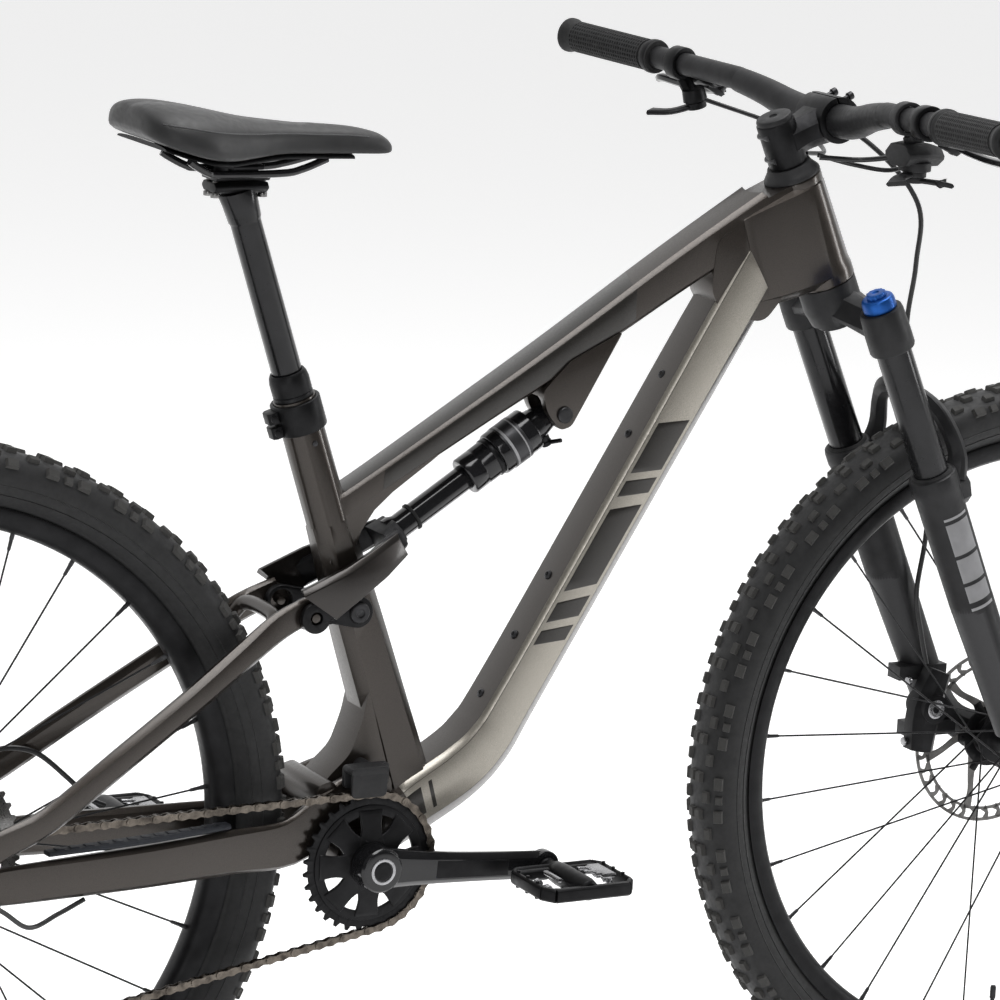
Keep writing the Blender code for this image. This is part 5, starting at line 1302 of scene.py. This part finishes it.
def make_derailleur():
    mount = Vector((8, 0, 334))
    body = [across(mount, -82.5, -98, 11.0),
            beam([Vector((10, -93.5, 332)), Vector((22, -90, 306)), Vector((30, -84, 288))],
                 [(14, 22, 5), (18, 26, 6), (18, 24, 6)], steps=4),
            across(GUIDE_PULLEY, -71.6, -92, 17.0),
            beam([Vector((4, -91.5, 338)), Vector((-14, -94, 344))], [(8, 10, 3), (8, 8, 3)])]
    make("derailleur_shell", "seatstays", "black_alloy", body, nodes=["derailleur_body"], bevel=0.9, segments=3)
    make("derailleur_trim", "seatstays", "dark_alloy",
         [spindle([(8.0, 97.8), (8.0, 98.8), (4.2, 98.8), (3.6, 97.9)], Vector((mount.x, 0, mount.z)), -AXIS_Y),
          spindle([(13.2, 91.8), (13.2, 92.8), (11.8, 93.6), (5.0, 93.6)],
                  Vector((GUIDE_PULLEY.x, 0, GUIDE_PULLEY.z)), -AXIS_Y)],
         bevel=0.2)
    links = []
    a, b = Vector((GUIDE_PULLEY.x, GUIDE_PULLEY.z)), Vector((TENSION_PULLEY.x, TENSION_PULLEY.z))
    for y0, y1 in ((CHAIN_COG_Y - 9.0, CHAIN_COG_Y - 6.6), (CHAIN_COG_Y + 6.6, CHAIN_COG_Y + 9.0)):
        along = (b - a).normalized()
        up = Vector((-along.y, along.x))
        outline = []
        for centre, radius, flip in ((a, 13.0, -1.0), (b, 11.0, 1.0)):
            for k in range(13):
                t = math.radians(-100 + 200 * k / 12)
                outline.append(tuple(centre + along * (flip * radius * math.cos(t))
                                     + up * (flip * radius * math.sin(t))))
        links.append(plate(outline, y0, y1))
    links += [across(point, CHAIN_COG_Y - 9.6, CHAIN_COG_Y + 9.6, 3.0) for point in (GUIDE_PULLEY,
            TENSION_PULLEY)]
    make("derailleur_arms", "cage", "dark_alloy", links, nodes=["derailleur_cage"], bevel=0.4)
    for name, centre in (("guide_pulley", GUIDE_PULLEY), ("tension_pulley", TENSION_PULLEY)):
        flat = Vector((centre.x, 0.0, centre.z))
        wheel = [sprocket(Vector((centre.x, CHAIN_COG_Y, centre.z)), 11, 23.4, CHAIN_COG_Y - 1.2,
                          CHAIN_COG_Y + 1.2, 13.0, 4.4),
                 turned([(3.3, CHAIN_COG_Y - 3.2), (8.4, CHAIN_COG_Y - 3.2), (8.4, CHAIN_COG_Y + 3.2),
                         (3.3, CHAIN_COG_Y + 3.2)],
                        flat, AXIS_Y)]
        wheel += spun(beam([Vector((centre.x + 7, CHAIN_COG_Y, centre.z)),
                            Vector((centre.x + 14.5, CHAIN_COG_Y, centre.z))],
                           [(2.0, 4.4, 0.5)] * 2), Vector((centre.x, CHAIN_COG_Y, centre.z)), 6)
        make(name + "_wheel", name, "black_plastic", wheel, nodes=[name], bevel=0.2)


# ---------------------------------------------------------------- saddle

SADDLE_STATIONS = [
    (195, 30, 1026, 1012), (199, 48, 1031, 1006), (210, 61, 1033, 1000), (228, 69, 1032.5, 994),
    (252, 68, 1029, 988), (278, 56, 1024, 985), (306, 42, 1018.5, 986), (335, 32, 1015, 987.6),
    (370, 25, 1011.5, 986.6), (410, 20.4, 1008, 985.2), (436, 17, 1002.5, 984.2), (447, 12.6, 997, 984.4),
    (452.6, 6, 991.6, 985.8),
]
CREASE = 0.62


def saddle_section(x, half, top, under, sides=28):
    """Crowned top with a shallow centre channel, rolled flanks and a flat underside."""
    ring = []
    for i in range(sides + 1):
        a = math.pi * i / sides
        y = math.cos(a)
        lift = math.sin(a) ** CREASE
        dip = 1.5 * math.exp(-(y * half / 9.0) ** 2) if half > 26 else 0.0
        ring.append(Vector((x, half * y, under + (top - under) * lift - dip)))
    for i in range(1, 8):
        y = -1 + i / 4
        ring.append(Vector((x, half * 0.985 * y, under + 0.25)))
    return ring


def make_saddle():
    stations = [tuple(spline(SADDLE_STATIONS_V, i / 5)) for i in range((len(SADDLE_STATIONS) - 1) * 5 + 1)]
    pad = loft([saddle_section(*station) for station in stations])
    thing = make("saddle_cushion", "seatpost_upper", "saddle_cover", [pad], nodes=["saddle_pad"], bevel=0,
                 smooth=180.0)
    modifier = thing.modifiers.new("round", 'SUBSURF')
    modifier.levels = 1
    modifier.render_levels = 1
    return thing


SADDLE_STATIONS_V = [Vector(station) for station in SADDLE_STATIONS]


def saddle_point(x, turn, lift=0.0):
    """Point on the cushion: turn runs 0 at the left edge to pi at the right edge."""
    xs = [s[0] for s in SADDLE_STATIONS]
    i = max(k for k in range(len(xs) - 1) if xs[k] <= x)
    lo, hi = 0.0, 1.0
    for _ in range(24):
        mid = (lo + hi) / 2
        if spline(SADDLE_STATIONS_V, i + mid)[0] < x:
            lo = mid
        else:
            hi = mid
    _, half, top, under = spline(SADDLE_STATIONS_V, i + lo)
    return Vector((x, half * math.cos(turn) * (1 + lift / max(half, 1)),
                   under + (top - under) * math.sin(turn) ** CREASE + lift))


def make_saddle_details():
    seams = []
    for start, end, turns in ((206, 424, (0.42, 0.36, 0.50, 0.62)),):
        for side in (1, -1):
            line = []
            for k in range(41):
                t = k / 40
                turn = turns[0] + (turns[-1] - turns[0]) * t
                point = saddle_point(start + (end - start) * t, turn, 0.05)
                line.append(Vector((point.x, side * point.y, point.z)))
            seams.append(pipe(line, 0.55, 6))
            for k in range(2, len(line) * 2 - 4):
                spot = spline(line, k / 2)
                ahead = (spline(line, k / 2 + 0.3) - spot).normalized()
                seams.append(rod(spot + Vector((0, side * 1.9, 0)) - ahead * 0.9,
                                 spot + Vector((0, side * 1.9, -0.15)) + ahead * 0.9, 0.34, sides=6))
    make("saddle_seams", "seatpost_upper", "thread", seams, bevel=0)
    shell_rings = [[Vector((p.x, p.y * 0.86, p.z)) for p in saddle_ring(x, half, under - 0.3, under - 4.5)]
                   for x, half, _, under in SADDLE_STATIONS[2:10]]
    make("saddle_shell", "seatpost_upper", "black_plastic", [loft(shell_rings)], nodes=["saddle_base"], bevel=0,
         smooth=50.0)
    rail = [(243, 30, 983.5), (250, 28, 979), (264, 24, 972), (276, 22, 970), (336, 22, 970), (358, 19, 973),
            (384, 13, 980.5)]
    make("saddle_rails", "seatpost_upper", "black_gloss", both(pipe(smooth_path(rail, 8), 3.5, 20)), bevel=0,
         smooth=60.0)
    clamp = [beam([Vector((276, 0, 965.8)), Vector((328, 0, 965.8))], [(34, 6, 2.4)] * 2),
             beam([Vector((287, 0, 976.4)), Vector((317, 0, 976.4))], [(54, 5, 1.8)] * 2),
             box((302, 0, 971.5), (30, 30, 8))]
    make("saddle_clamp_plates", "seatpost_upper", "black_alloy", clamp, nodes=["saddle_clamp"], bevel=0.8,
         segments=3)
    cradle = Vector((302, 0, 956.4))
    post = [spindle([(14.0, 420), (14.0, 621), (14.6, 623), (15.2, 624), (16.4, 640), (18.0, 652)], SEAT_BASE,
                    SEAT_UP),
            beam([cradle - Vector((26, 0, 0)), cradle - Vector((12, 0, -1)), cradle + Vector((12, 0, 1)),
                  cradle + Vector((26, 0, 0))],
                 [(30, 9, 3.6), (36, 11, 4.4), (36, 11, 4.4), (30, 9, 3.6)])]
    make("dropper_post", "seatpost_upper", "stanchion", post[:1], nodes=["dropper_stanchion"], bevel=0.3,
         smooth=40.0)
    make("dropper_head", "seatpost_upper", "black_alloy", post[1:], bevel=1.0, segments=3)
    bolts = []
    for x in (279, 325):
        for y in (-1, 1):
            bolts.append(rod((x, y * 7.5, 950.2), (x, y * 7.5, 962.0), 2.6))
            bolts.append(rod((x, y * 7.5, 947.4), (x, y * 7.5, 951.4), 4.2))
    make("dropper_bolts", "seatpost_upper", "steel", bolts, bevel=0.3)


def saddle_ring(x, half, top, under, sides=20):
    ring = []
    for i in range(sides + 1):
        a = math.pi * i / sides
        ring.append(Vector((x, half * math.cos(a), under + (top - under) * math.sin(a) ** 0.62)))
    return ring


# ---------------------------------------------------------------- fork

def leg_spindle(profile, side):
    return spindle(profile, leg(0, 0, side), STEER_UP)


def make_fork():
    crown = [pipe([steer(500), steer(545), steer(610), steer(716)], [20.0, 19.0, 14.3, 14.3]),
             spindle([(25, 505), (28.5, 520), (28.5, 544.4)], STEER_BASE, STEER_UP)]
    for side in (1.0, -1.0):
        crown.append(beam([steer(524, 2, side * 4), steer(513, 6, side * 32), leg(502, 0, side)],
                          [(46, 34, 14), (40, 30, 13), (34, 34, 13)], side=STEER_FWD, steps=5))
        crown.append(leg_spindle([(21.2, 482), (22.0, 484), (22.0, 500), (21.2, 520), (20.2, 524)], side))
    crown.append(leg_spindle([(14.0, 522), (13.6, 528), (12.4, 531), (5, 532)], 1.0))
    make("fork_crown", "steering", "fork_black", crown, nodes=["fork_upper"], bevel=1.0, unite=True, segments=3)
    make("fork_stanchions", "steering", "stanchion",
         [leg_spindle([(16.0, 268), (17.0, 270), (17.0, 481.9)], side) for side in (1.0, -1.0)], bevel=0,
         smooth=40.0)
    knob_at = leg(0, 0, -1.0)
    dial = [spindle([(16.0, 524.4), (16.2, 526), (16.0, 533), (15.0, 536), (13.4, 537)], knob_at, STEER_UP)]
    ribs = []
    base = leg(0, 0, -1.0)
    first, second = square_to(STEER_UP)
    for i in range(10):
        a = 2 * math.pi * i / 10
        out = first * math.cos(a) + second * math.sin(a)
        ribs.append(rod(base + STEER_UP * 536 + out * 7.9, base + STEER_UP * 541.6 + out * 7.6, 2.2, 1.9))
    make("fork_dial", "fork_dial", "blue_alloy",
         dial + [spindle([(9.2, 536), (9.2, 541), (8.4, 541.8), (3.4, 541.8), (2.8, 540.6), (0.1, 540.6)],
                         knob_at, STEER_UP)] + ribs,
         nodes=["fork_knob"], bevel=0.3)
    legs = []
    for side in (1.0, -1.0):
        legs += [leg_spindle([(21.8, 200), (22.6, 300), (22.8, 328), (23.8, 331), (23.8, 342), (23.0, 346),
                              (20.6, 347)], side),
                 rod(leg(60, 3, side), leg(210, 0, side), 19.0, 22.0),
                 beam([leg(80, 3, side), leg(30, 14, side), steer(0, 40, side * 66)],
                      [(34, 34, 12), (34, 30, 11), (22, 38, 10)], steps=5),
                 across(FRONT_AXLE, side * 55.3, side * 78, 17.0)]
    arch_path = [leg(330, 22, 1.0), leg(352, 36, 0.93), leg(385, 40, 0.72), leg(402, 38, 0.4),
                 leg(404, 38, 0.0),
                 leg(402, 38, -0.4), leg(385, 40, -0.72), leg(352, 36, -0.93), leg(330, 22, -1.0)]
    arch_sizes = [(18, 26, 6), (15, 22, 6), (14, 20, 6), (14, 20, 6), (14, 20, 6), (14, 20, 6), (14, 20, 6),
                  (15, 22, 6),
                  (18, 26, 6)]
    legs.append(beam(arch_path, arch_sizes, side=STEER_FWD, steps=4))
    legs += [beam([leg(322, 12, side), leg(318, 30, side)], [(26, 36, 9), (22, 30, 8)]) for side in (1.0, -1.0)]
    legs += [box((x, 66, z), (56, 21.4, 14)) for x, z in ((1126, 380), (1110, 440))]
    hollows = [rod(leg(141, 0, side), leg(352, 0, side), 17.3) for side in (1.0, -1.0)]
    make("fork_legs", "fork_lower", "fork_black", legs, hollows, nodes=["fork_lowers"], bevel=1.1, unite=True,
         segments=3)
    make("fork_seals", "fork_lower", "rubber_black",
         [turned([(17.2, 346.6), (20.4, 346.6), (20.4, 347.6), (18.6, 349.4), (17.2, 349.6)], leg(0, 0, side),
                 STEER_UP)
          for side in (1.0, -1.0)], bevel=0)
    make("front_axle", "fork_lower", "dark_alloy",
         [across(FRONT_AXLE, -74, 82, 7.5),
          spindle([(10.0, 76), (10.0, 83), (9.0, 84), (4.4, 84), (3.8, 82.6), (0.1, 82.6)], FRONT_AXLE, AXIS_Y),
          spindle([(12.0, 77), (12.0, 79), (10.8, 80), (5.0, 80), (4.4, 78.8), (0.1, 78.8)], FRONT_AXLE,
                  -AXIS_Y)], bevel=0.2)
    decals = []
    for side in (1.0, -1.0):
        for low, high, wide in ((214, 232, 34), (236, 262, 34), (266, 300, 34)):
            decals.append(decal_band(side, low, high, wide))
    make("fork_decals", "fork_lower", "grey_decal", decals, bevel=0)
    thin = [decal_band(side, a, b, 34) for side in (1.0, -1.0) for a, b in ((205, 208), (304, 306.5))]
    make("fork_decal_lines", "fork_lower", "pale_decal", thin, bevel=0)
    rotor_y = 39.6
    slot = turned([(62, rotor_y - 2.2), (96, rotor_y - 2.2), (96, rotor_y + 2.2), (62, rotor_y + 2.2)],
                  FRONT_AXLE, AXIS_Y)
    make("front_caliper_shell", "fork_lower", "black_alloy",
         [beam([Vector((1099, rotor_y - 1, 366)), Vector((1103, rotor_y - 1, 408)),
                Vector((1116, rotor_y - 1, 446))],
               [(31, 26, 8), (32, 32, 9), (31, 24, 8)], steps=3),
          across((1106, 0, 410), rotor_y - 18, rotor_y + 15.2, 14.5)],
         [slot], nodes=["front_caliper"], bevel=0.9, unite=True, segments=3)
    make("front_caliper_bolts", "fork_lower", "silver",
         [turned([(3.8, rotor_y - 17.6), (9.8, rotor_y - 17.6), (9.4, rotor_y - 18.4), (3.8, rotor_y - 18.4)],
                 Vector((1106, 0, 410)), AXIS_Y)] +
         [rod((x - 18, rotor_y + 2, z), (x - 22, rotor_y + 2, z), 4.2) for x, z in ((1104, 374), (1104, 436))],
         bevel=0.3)


def decal_band(side, low, high, wide):
    """A patch wrapped on the outer front of a fork leg."""
    base = leg(0, 0, side)
    rings = []
    for k in range(15):
        a = math.radians(-wide + 2 * wide * k / 14)
        out = (AXIS_Y * side) * math.cos(a) + STEER_FWD * math.sin(a)
        ring = []
        for along, lift in ((low, -0.3), (high, -0.3), (high, 0.22), (low, 0.22)):
            radius = 21.8 + 0.8 * (along - 200) / 100 + lift
            ring.append(base + STEER_UP * along + out * radius)
        rings.append(ring)
    return loft(rings)


# ---------------------------------------------------------------- cockpit

BAR_LINE = [BAR_CENTRE, BAR_CENTRE + AXIS_Y * 36.0, Vector((911.0, 62.0, 1012.0)),
            Vector((904.5, 92.0, 1020.0)),
            Vector((897.0, 126.0, 1026.5)), Vector((890.5, 160.0, 1030.0)), BAR_END]
LEVER_DIR = Vector((0.86, 0.0, -0.51))
LEVER_UP = Vector((0.51, 0.0, 0.86))
THUMB_DIR = Vector((-0.954, 0.0, -0.30))
UNDER_DIR = Vector((0.30, 0.0, -0.954))


def bar_at(y):
    start, end = BAR_LINE[-2], BAR_LINE[-1]
    return start + (end - start) * ((y - start.y) / (end.y - start.y))


BAR_DIR = (bar_at(390.0) - bar_at(200.0)).normalized()


def grip_solids():
    """Grip with waffle ribs, an inner clamp ring and an end flange."""
    start = bar_at(252.0)
    length = (bar_at(389.0) - start).length
    profile = [(11.4, 0), (16.0, 0), (16.5, 1), (16.5, 9), (15.6, 10.5), (14.4, 12), (14.4, length - 13),
               (16.4, length - 6), (17.2, length - 4), (17.2, length - 1), (16.4, length), (11.4, length)]
    solids = [turned(profile, start, BAR_DIR)]
    first, second = square_to(BAR_DIR)
    rows = 30
    for row in range(rows):
        along = 15.5 + (length - 32) * row / (rows - 1)
        solids.append(turned([(14.2, along - 1.2), (15.5, along - 0.9), (15.5, along + 0.9),
                              (14.2, along + 1.2)], start, BAR_DIR, 40))
    for i in range(22):
        a = 2 * math.pi * i / 22
        out = first * math.cos(a) + second * math.sin(a)
        line = [start + BAR_DIR * 14 + out * 14.3, start + BAR_DIR * (length - 15) + out * 14.3]
        solids.append(beam(line, [(2.0, 2.2, 0.4)] * 2, side=BAR_DIR.cross(out)))
    return solids


def make_bar():
    right = [Vector((p.x, -p.y, p.z)) for p in BAR_LINE[1:]]
    path = list(reversed(right)) + BAR_LINE
    half = [15.9, 15.9, 15.0, 13.4, 12.2, 11.1, 11.1]
    radii = list(reversed(half[1:])) + half
    smooth, sizes = [], []
    for k in range((len(path) - 1) * 6 + 1):
        t = k / 6
        i = min(int(t), len(path) - 2)
        straight = i in (0, len(path) - 2)
        smooth.append(path[i].lerp(path[i + 1], t - i) if straight else spline(path, t))
        sizes.append(min(radii[i] + (radii[i + 1] - radii[i]) * (t - i), 15.9))
    make("bar", "steering", "fork_black", [pipe(smooth, sizes, 40)], nodes=["handlebar"], bevel=0, smooth=60.0)
    for name, flip in (("grip_left", False), ("grip_right", True)):
        solids = grip_solids()
        collar = [turned([(16.2, 2.0), (16.9, 2.4), (16.9, 7.8), (16.2, 8.2)], bar_at(252.0), BAR_DIR),
                  spindle([(10.6, 0), (10.6, 1.4), (9.6, 2.2), (0.1, 2.2)], bar_at(388.0), BAR_DIR)]
        if flip:
            solids = [mirrored(s) for s in solids]
            collar = [mirrored(s) for s in collar]
        make(name + "_rubber", "steering", "rubber_black", solids, nodes=[name], bevel=0, smooth=40.0)
        make(name + "_collar", "steering", "black_alloy", collar, bevel=0.3)


def make_stem():
    body = [spindle([(18.0, 668), (18.5, 669), (18.5, 711), (18.0, 712)], STEER_BASE, STEER_UP),
            beam([steer(690, 4), steer(690, 22), steer(690, 42)], [(37, 40, 12), (34, 34, 10), (44, 36, 10)],
                 steps=4),
            across(BAR_CENTRE, -23, 23, 22.0)]
    cuts = [rod(steer(665), steer(716.4), 14.8), across(BAR_CENTRE, -40, 40, 16.2),
            beam([BAR_CENTRE + STEER_UP * 30 + STEER_FWD * 4, BAR_CENTRE - STEER_UP * 30 + STEER_FWD * 4],
                 [(60, 1.6, 0.1)] * 2),
            beam([BAR_CENTRE + STEER_FWD * -6, BAR_CENTRE + STEER_FWD * 30], [(14, 60, 2)] * 2)]
    make("stem_body", "steering", "black_alloy", body, cuts[:3], nodes=["stem"], bevel=1.1, unite=True,
         segments=3)
    cap = [spindle([(17.5, 711.6), (17.5, 715), (16.6, 716.9), (15.2, 717.5), (4.2, 717.5), (3.6, 715.8),
                    (0.1, 715.8)],
                   STEER_BASE, STEER_UP)]
    make("stem_cap", "steering", "fork_black", cap, bevel=0.2)
    bolts = []
    for y in (-14, 14):
        for z in (-19, 14):
            at = BAR_CENTRE + STEER_UP * z + AXIS_Y * y
            bolts.append(rod(at + STEER_FWD * 6, at + STEER_FWD * 24, 2.4))
            bolts.append(spindle([(4.0, 20), (4.0, 24.6), (3.4, 25.2), (2.0, 25.2), (2.0, 23.4), (0.1, 23.4)],
                                 at, STEER_FWD))
    for z in (678, 702):
        at = steer(z, -15.5)
        bolts.append(rod(at - AXIS_Y * 8.6, at + AXIS_Y * 8.6, 3.3))
    make("stem_bolts", "steering", "dark_alloy", bolts, bevel=0.2)


def brake_pivot():
    return bar_at(206.0) + LEVER_DIR * 44.0


def lever_blade():
    pivot_at = brake_pivot()
    path = [pivot_at + LEVER_DIR * 4, bar_at(222) + LEVER_DIR * 56, bar_at(250) + LEVER_DIR * 62,
            bar_at(284) + LEVER_DIR * 62, bar_at(308) + LEVER_DIR * 59, bar_at(322) + LEVER_DIR * 65.4]
    blade = beam(path, [(5.4, 9, 2.4), (6.0, 10, 2.4), (6.8, 10, 2.6), (7.6, 10.6, 2.8), (7.6, 10.6, 2.8),
                        (7.4, 8.6, 2.8)],
                 side=LEVER_UP, steps=6)
    return [blade, rod(pivot_at - LEVER_UP * 3.0, pivot_at + LEVER_UP * 3.0, 6.5)]


def control_solids(with_pod):
    cylinder_from = bar_at(188) + LEVER_DIR * 27 + LEVER_UP * 3
    cylinder_to = bar_at(250) + LEVER_DIR * 31 + LEVER_UP * 2
    line = (cylinder_to - cylinder_from).normalized()
    length = (cylinder_to - cylinder_from).length
    solids = [beam([bar_at(218) + LEVER_DIR * 13.5, bar_at(218) + LEVER_DIR * 24], [(13, 16, 4)] * 2),
              spindle([(6.4, 0), (7.4, 1), (7.4, 7), (9.5, 9), (9.4, 30), (8.6, length - 8), (7.6, length - 1),
                       (6.6, length)],
                      cylinder_from, line),
              beam([bar_at(206) + LEVER_DIR * 30, bar_at(206) + LEVER_DIR * 40, bar_at(206) + LEVER_DIR * 50],
                   [(15, 17, 4), (14, 16, 4), (12, 14, 4)])]
    clamp = [turned([(11.4, -7.5), (15.6, -7.5), (16.2, -6.5), (16.2, 6.5), (15.6, 7.5), (11.4, 7.5)],
                    bar_at(218), BAR_DIR)]
    slot_centre = brake_pivot()
    cuts = [rod(slot_centre - LEVER_UP * 3.4, slot_centre + LEVER_UP * 3.4, 9.0),
            beam([slot_centre, slot_centre + LEVER_DIR * 20], [(40, 6.8, 0.5)] * 2)]
    if with_pod:
        solids += [beam([bar_at(218) + UNDER_DIR * 15.5, bar_at(210) + UNDER_DIR * 30], [(12, 14, 4)] * 2),
                   rod(bar_at(206) + UNDER_DIR * 24, bar_at(206) + UNDER_DIR * 36, 11.0, 12.0)]
    return solids, clamp, cuts


def make_controls():
    for name, flip in (("left", False), ("right", True)):
        solids, clamp, cuts = control_solids(not flip)
        blade = lever_blade()
        pins = [rod(brake_pivot() - LEVER_UP * 8.2, brake_pivot() + LEVER_UP * 8.2, 2.6),
                rod(bar_at(218) + LEVER_DIR * 17 - LEVER_UP * 9.2,
                    bar_at(218) + LEVER_DIR * 17 + LEVER_UP * 9.2, 2.8)]
        if flip:
            solids, clamp, cuts, blade, pins = ([mirrored(s) for s in group] for group in (solids, clamp, cuts,
                    blade, pins))
        make("brake_master_" + name, "steering", "black_alloy", solids, cuts, nodes=["brake_body_" + name],
             bevel=0.8,
             unite=True, segments=3)
        make("brake_clamp_" + name, "steering", "black_alloy", clamp, bevel=0.4)
        make("brake_pins_" + name, "steering", "dark_alloy", pins, bevel=0.2)
        make("brake_blade_" + name, "brake_lever_" + name[0], "black_gloss", blade,
             nodes=["brake_lever_" + name], bevel=0.5,
             segments=3)
    thumb = bar_at(206) + UNDER_DIR * 37
    paddle = [rod(thumb + UNDER_DIR * 0.3, thumb + UNDER_DIR * 7, 10.0),
              beam([thumb + UNDER_DIR * 4, thumb + UNDER_DIR * 4 + THUMB_DIR * 24 + AXIS_Y * 8,
                    thumb + UNDER_DIR * 2 + THUMB_DIR * 38 + AXIS_Y * 26], [(12, 5, 2), (12, 5, 2), (18, 5, 2)],
                    steps=4)]
    make("dropper_paddle", "dropper_lever", "black_alloy", paddle, nodes=["dropper_lever"], bevel=0.7,
         segments=3)
    shifter = bar_at(178) + UNDER_DIR * 34
    pod = [turned([(11.6, -7), (15.6, -7), (15.6, 7), (11.6, 7)], bar_at(175), BAR_DIR),
           beam([bar_at(176) + UNDER_DIR * 14.5, shifter + Vector((0, 0, 8))], [(14, 16, 4)] * 2),
           beam([shifter + Vector((-20, 0, 0)), shifter + Vector((2, -2, 1)), shifter + Vector((24, -4, -2))],
                [(36, 20, 8), (38, 22, 9), (28, 17, 7)], steps=3),
           rod(shifter + Vector((0, 0, -6)), shifter + Vector((0, 0, -14.5)), 15.0)]
    make("shifter_shell", "steering", "black_plastic", [mirrored(s) for s in pod], nodes=["shifter_body"],
         bevel=0.9,
         segments=3)
    centre = shifter + Vector((0, 0, -15))
    lever = [rod(centre + Vector((0, 0, 0.2)), centre - Vector((0, 0, 5)), 11.0),
             beam([centre + Vector((-4, 0, -2.5)), centre + Vector((-26, 14, -4)),
                   centre + Vector((-40, 32, -6))],
                  [(12, 4.6, 1.8), (13, 4.6, 1.8), (19, 4.6, 1.8)], steps=4)]
    make("shift_thumb_paddle", "shift_thumb", "black_plastic", [mirrored(s) for s in lever],
         nodes=["shift_thumb_lever"],
         bevel=0.6, segments=3)
    centre = shifter + Vector((0, 0, -22))
    trigger = [rod(centre + Vector((0, 0, 1.6)), centre - Vector((0, 0, 3.4)), 9.0),
               beam([centre + Vector((2, 2, -1)), centre + Vector((14, 26, -1)), centre + Vector((4, 46, 1))],
                    [(11, 4.4, 1.7), (11, 4.4, 1.7), (15, 4.4, 1.7)], steps=4)]
    make("shift_trigger_paddle", "shift_trigger", "black_plastic", [mirrored(s) for s in trigger],
         nodes=["shift_trigger"],
         bevel=0.6, segments=3)


def make_hoses():
    left_exit = bar_at(186.4) + LEVER_DIR * 27 + LEVER_UP * 3
    right_exit = MIRROR_Y @ left_exit
    runs = {
        "front_brake_hose": (None, [left_exit, (946, 120, 1010), (1000, 60, 976), (1036, 18, 922),
                                    (1046, 27, 860),
                                    (1053, 45, 790), (1073, 49, 715), (1096, 50, 640), (1097, 50, 580),
                                    (1090, 48, 525),
                                    (1098, 46, 482), (1104, 42, 452)], 2.5),
        "rear_brake_hose": ("steering", [right_exit, (950, -110, 1002), (962, -66, 982), (940, -32, 972),
                                         steer(664, 26, -14)], 2.5),
        "shift_housing": ("steering", [MIRROR_Y @ (bar_at(150) + UNDER_DIR * 34 + Vector((4, 0, 0))),
                                       (948, -108, 984),
                                       (952, -60, 966), (934, -24, 966), steer(664, 29, -6)], 2.2),
        "dropper_housing": ("steering", [bar_at(190) + UNDER_DIR * 33, (934, 140, 986), (950, 80, 976),
                                         (936, 34, 970),
                                         steer(664, 27, 11)], 2.2),
        "rear_hose_tail": (None, [(222, 58, 379.8), (206, 60, 388), (186, 60, 408), (152, 55, 436),
                                  (122, 56, 443),
                                  (104, 58, 436)], 2.5),
        "derailleur_housing": (None, [(150, -66, 334.2), (124, -69, 324), (92, -80, 318), (60, -92, 340),
                                      (20, -100, 362),
                                      (-14, -98, 360), (-19, -94, 349.5)], 2.2),
    }
    blends = {"front_brake_hose": ("steering", "fork_lower", (1090, 50, 640), (1104, 44, 456)),
              "rear_hose_tail": ("swingarm", "seatstays", (216, 58, 384), (110, 58, 438)),
              "derailleur_housing": ("swingarm", "seatstays", (140, -66, 330), (30, -98, 358))}
    for name, (body, points, radius) in runs.items():
        thing = make(name + "_line", body, "hose_black", [pipe(smooth_path(points, 10), radius, 14)],
                     nodes=[name], bevel=0,
                     smooth=60.0)
        if name in blends:
            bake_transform(thing)


# ---------------------------------------------------------------- assembly

NODE_LOOKS = {
    "frame": "frame_paint", "chainstay": "frame_paint", "seatstay": "frame_paint",
    "saddle_pad": "saddle_cover", "chain": "chain_steel", "fork_upper": "fork_black",
    "fork_lowers": "fork_black",
    "dropper_stanchion": "stanchion", "shock_can": "black_gloss", "fork_knob": "blue_alloy",
    "shock_lever": "blue_alloy",
    "grip_left": "rubber_black", "grip_right": "rubber_black", "chainstay_guard": "guard_rubber",
    "front_tyre": "tyre_tread", "rear_tyre": "tyre_tread", "front_rotor": "rotor_steel",
    "rear_rotor": "rotor_steel",
    "cassette": "steel", "saddle_base": "black_plastic", "chain_guide": "black_plastic",
    "headset_cover": "black_plastic", "shifter_body": "black_plastic", "shift_thumb_lever": "black_plastic",
    "shift_trigger": "black_plastic", "guide_pulley": "black_plastic", "tension_pulley": "black_plastic",
    "front_brake_hose": "hose_black", "rear_brake_hose": "hose_black", "shift_housing": "hose_black",
    "dropper_housing": "hose_black", "rear_hose_tail": "hose_black", "derailleur_housing": "hose_black",
}


def dress_frame_nodes():
    """Procedural materials on every CAD node."""
    for name, thing in frame["nodes"].items():
        look = LOOKS[NODE_LOOKS.get(name, "black_alloy")]
        for slot in thing.material_slots:
            slot.material = look


LOOKS = make_looks()
make_camera()
make_studio()
dress_frame_nodes()
make_wheels()
make_cassette()
make_chain()
make_crankset()
make_pedals()
make_frame()
make_fittings()
make_rear_end()
make_linkage()
make_derailleur()
make_saddle()
make_saddle_details()
make_fork()
make_bar()
make_stem()
make_controls()
make_hoses()
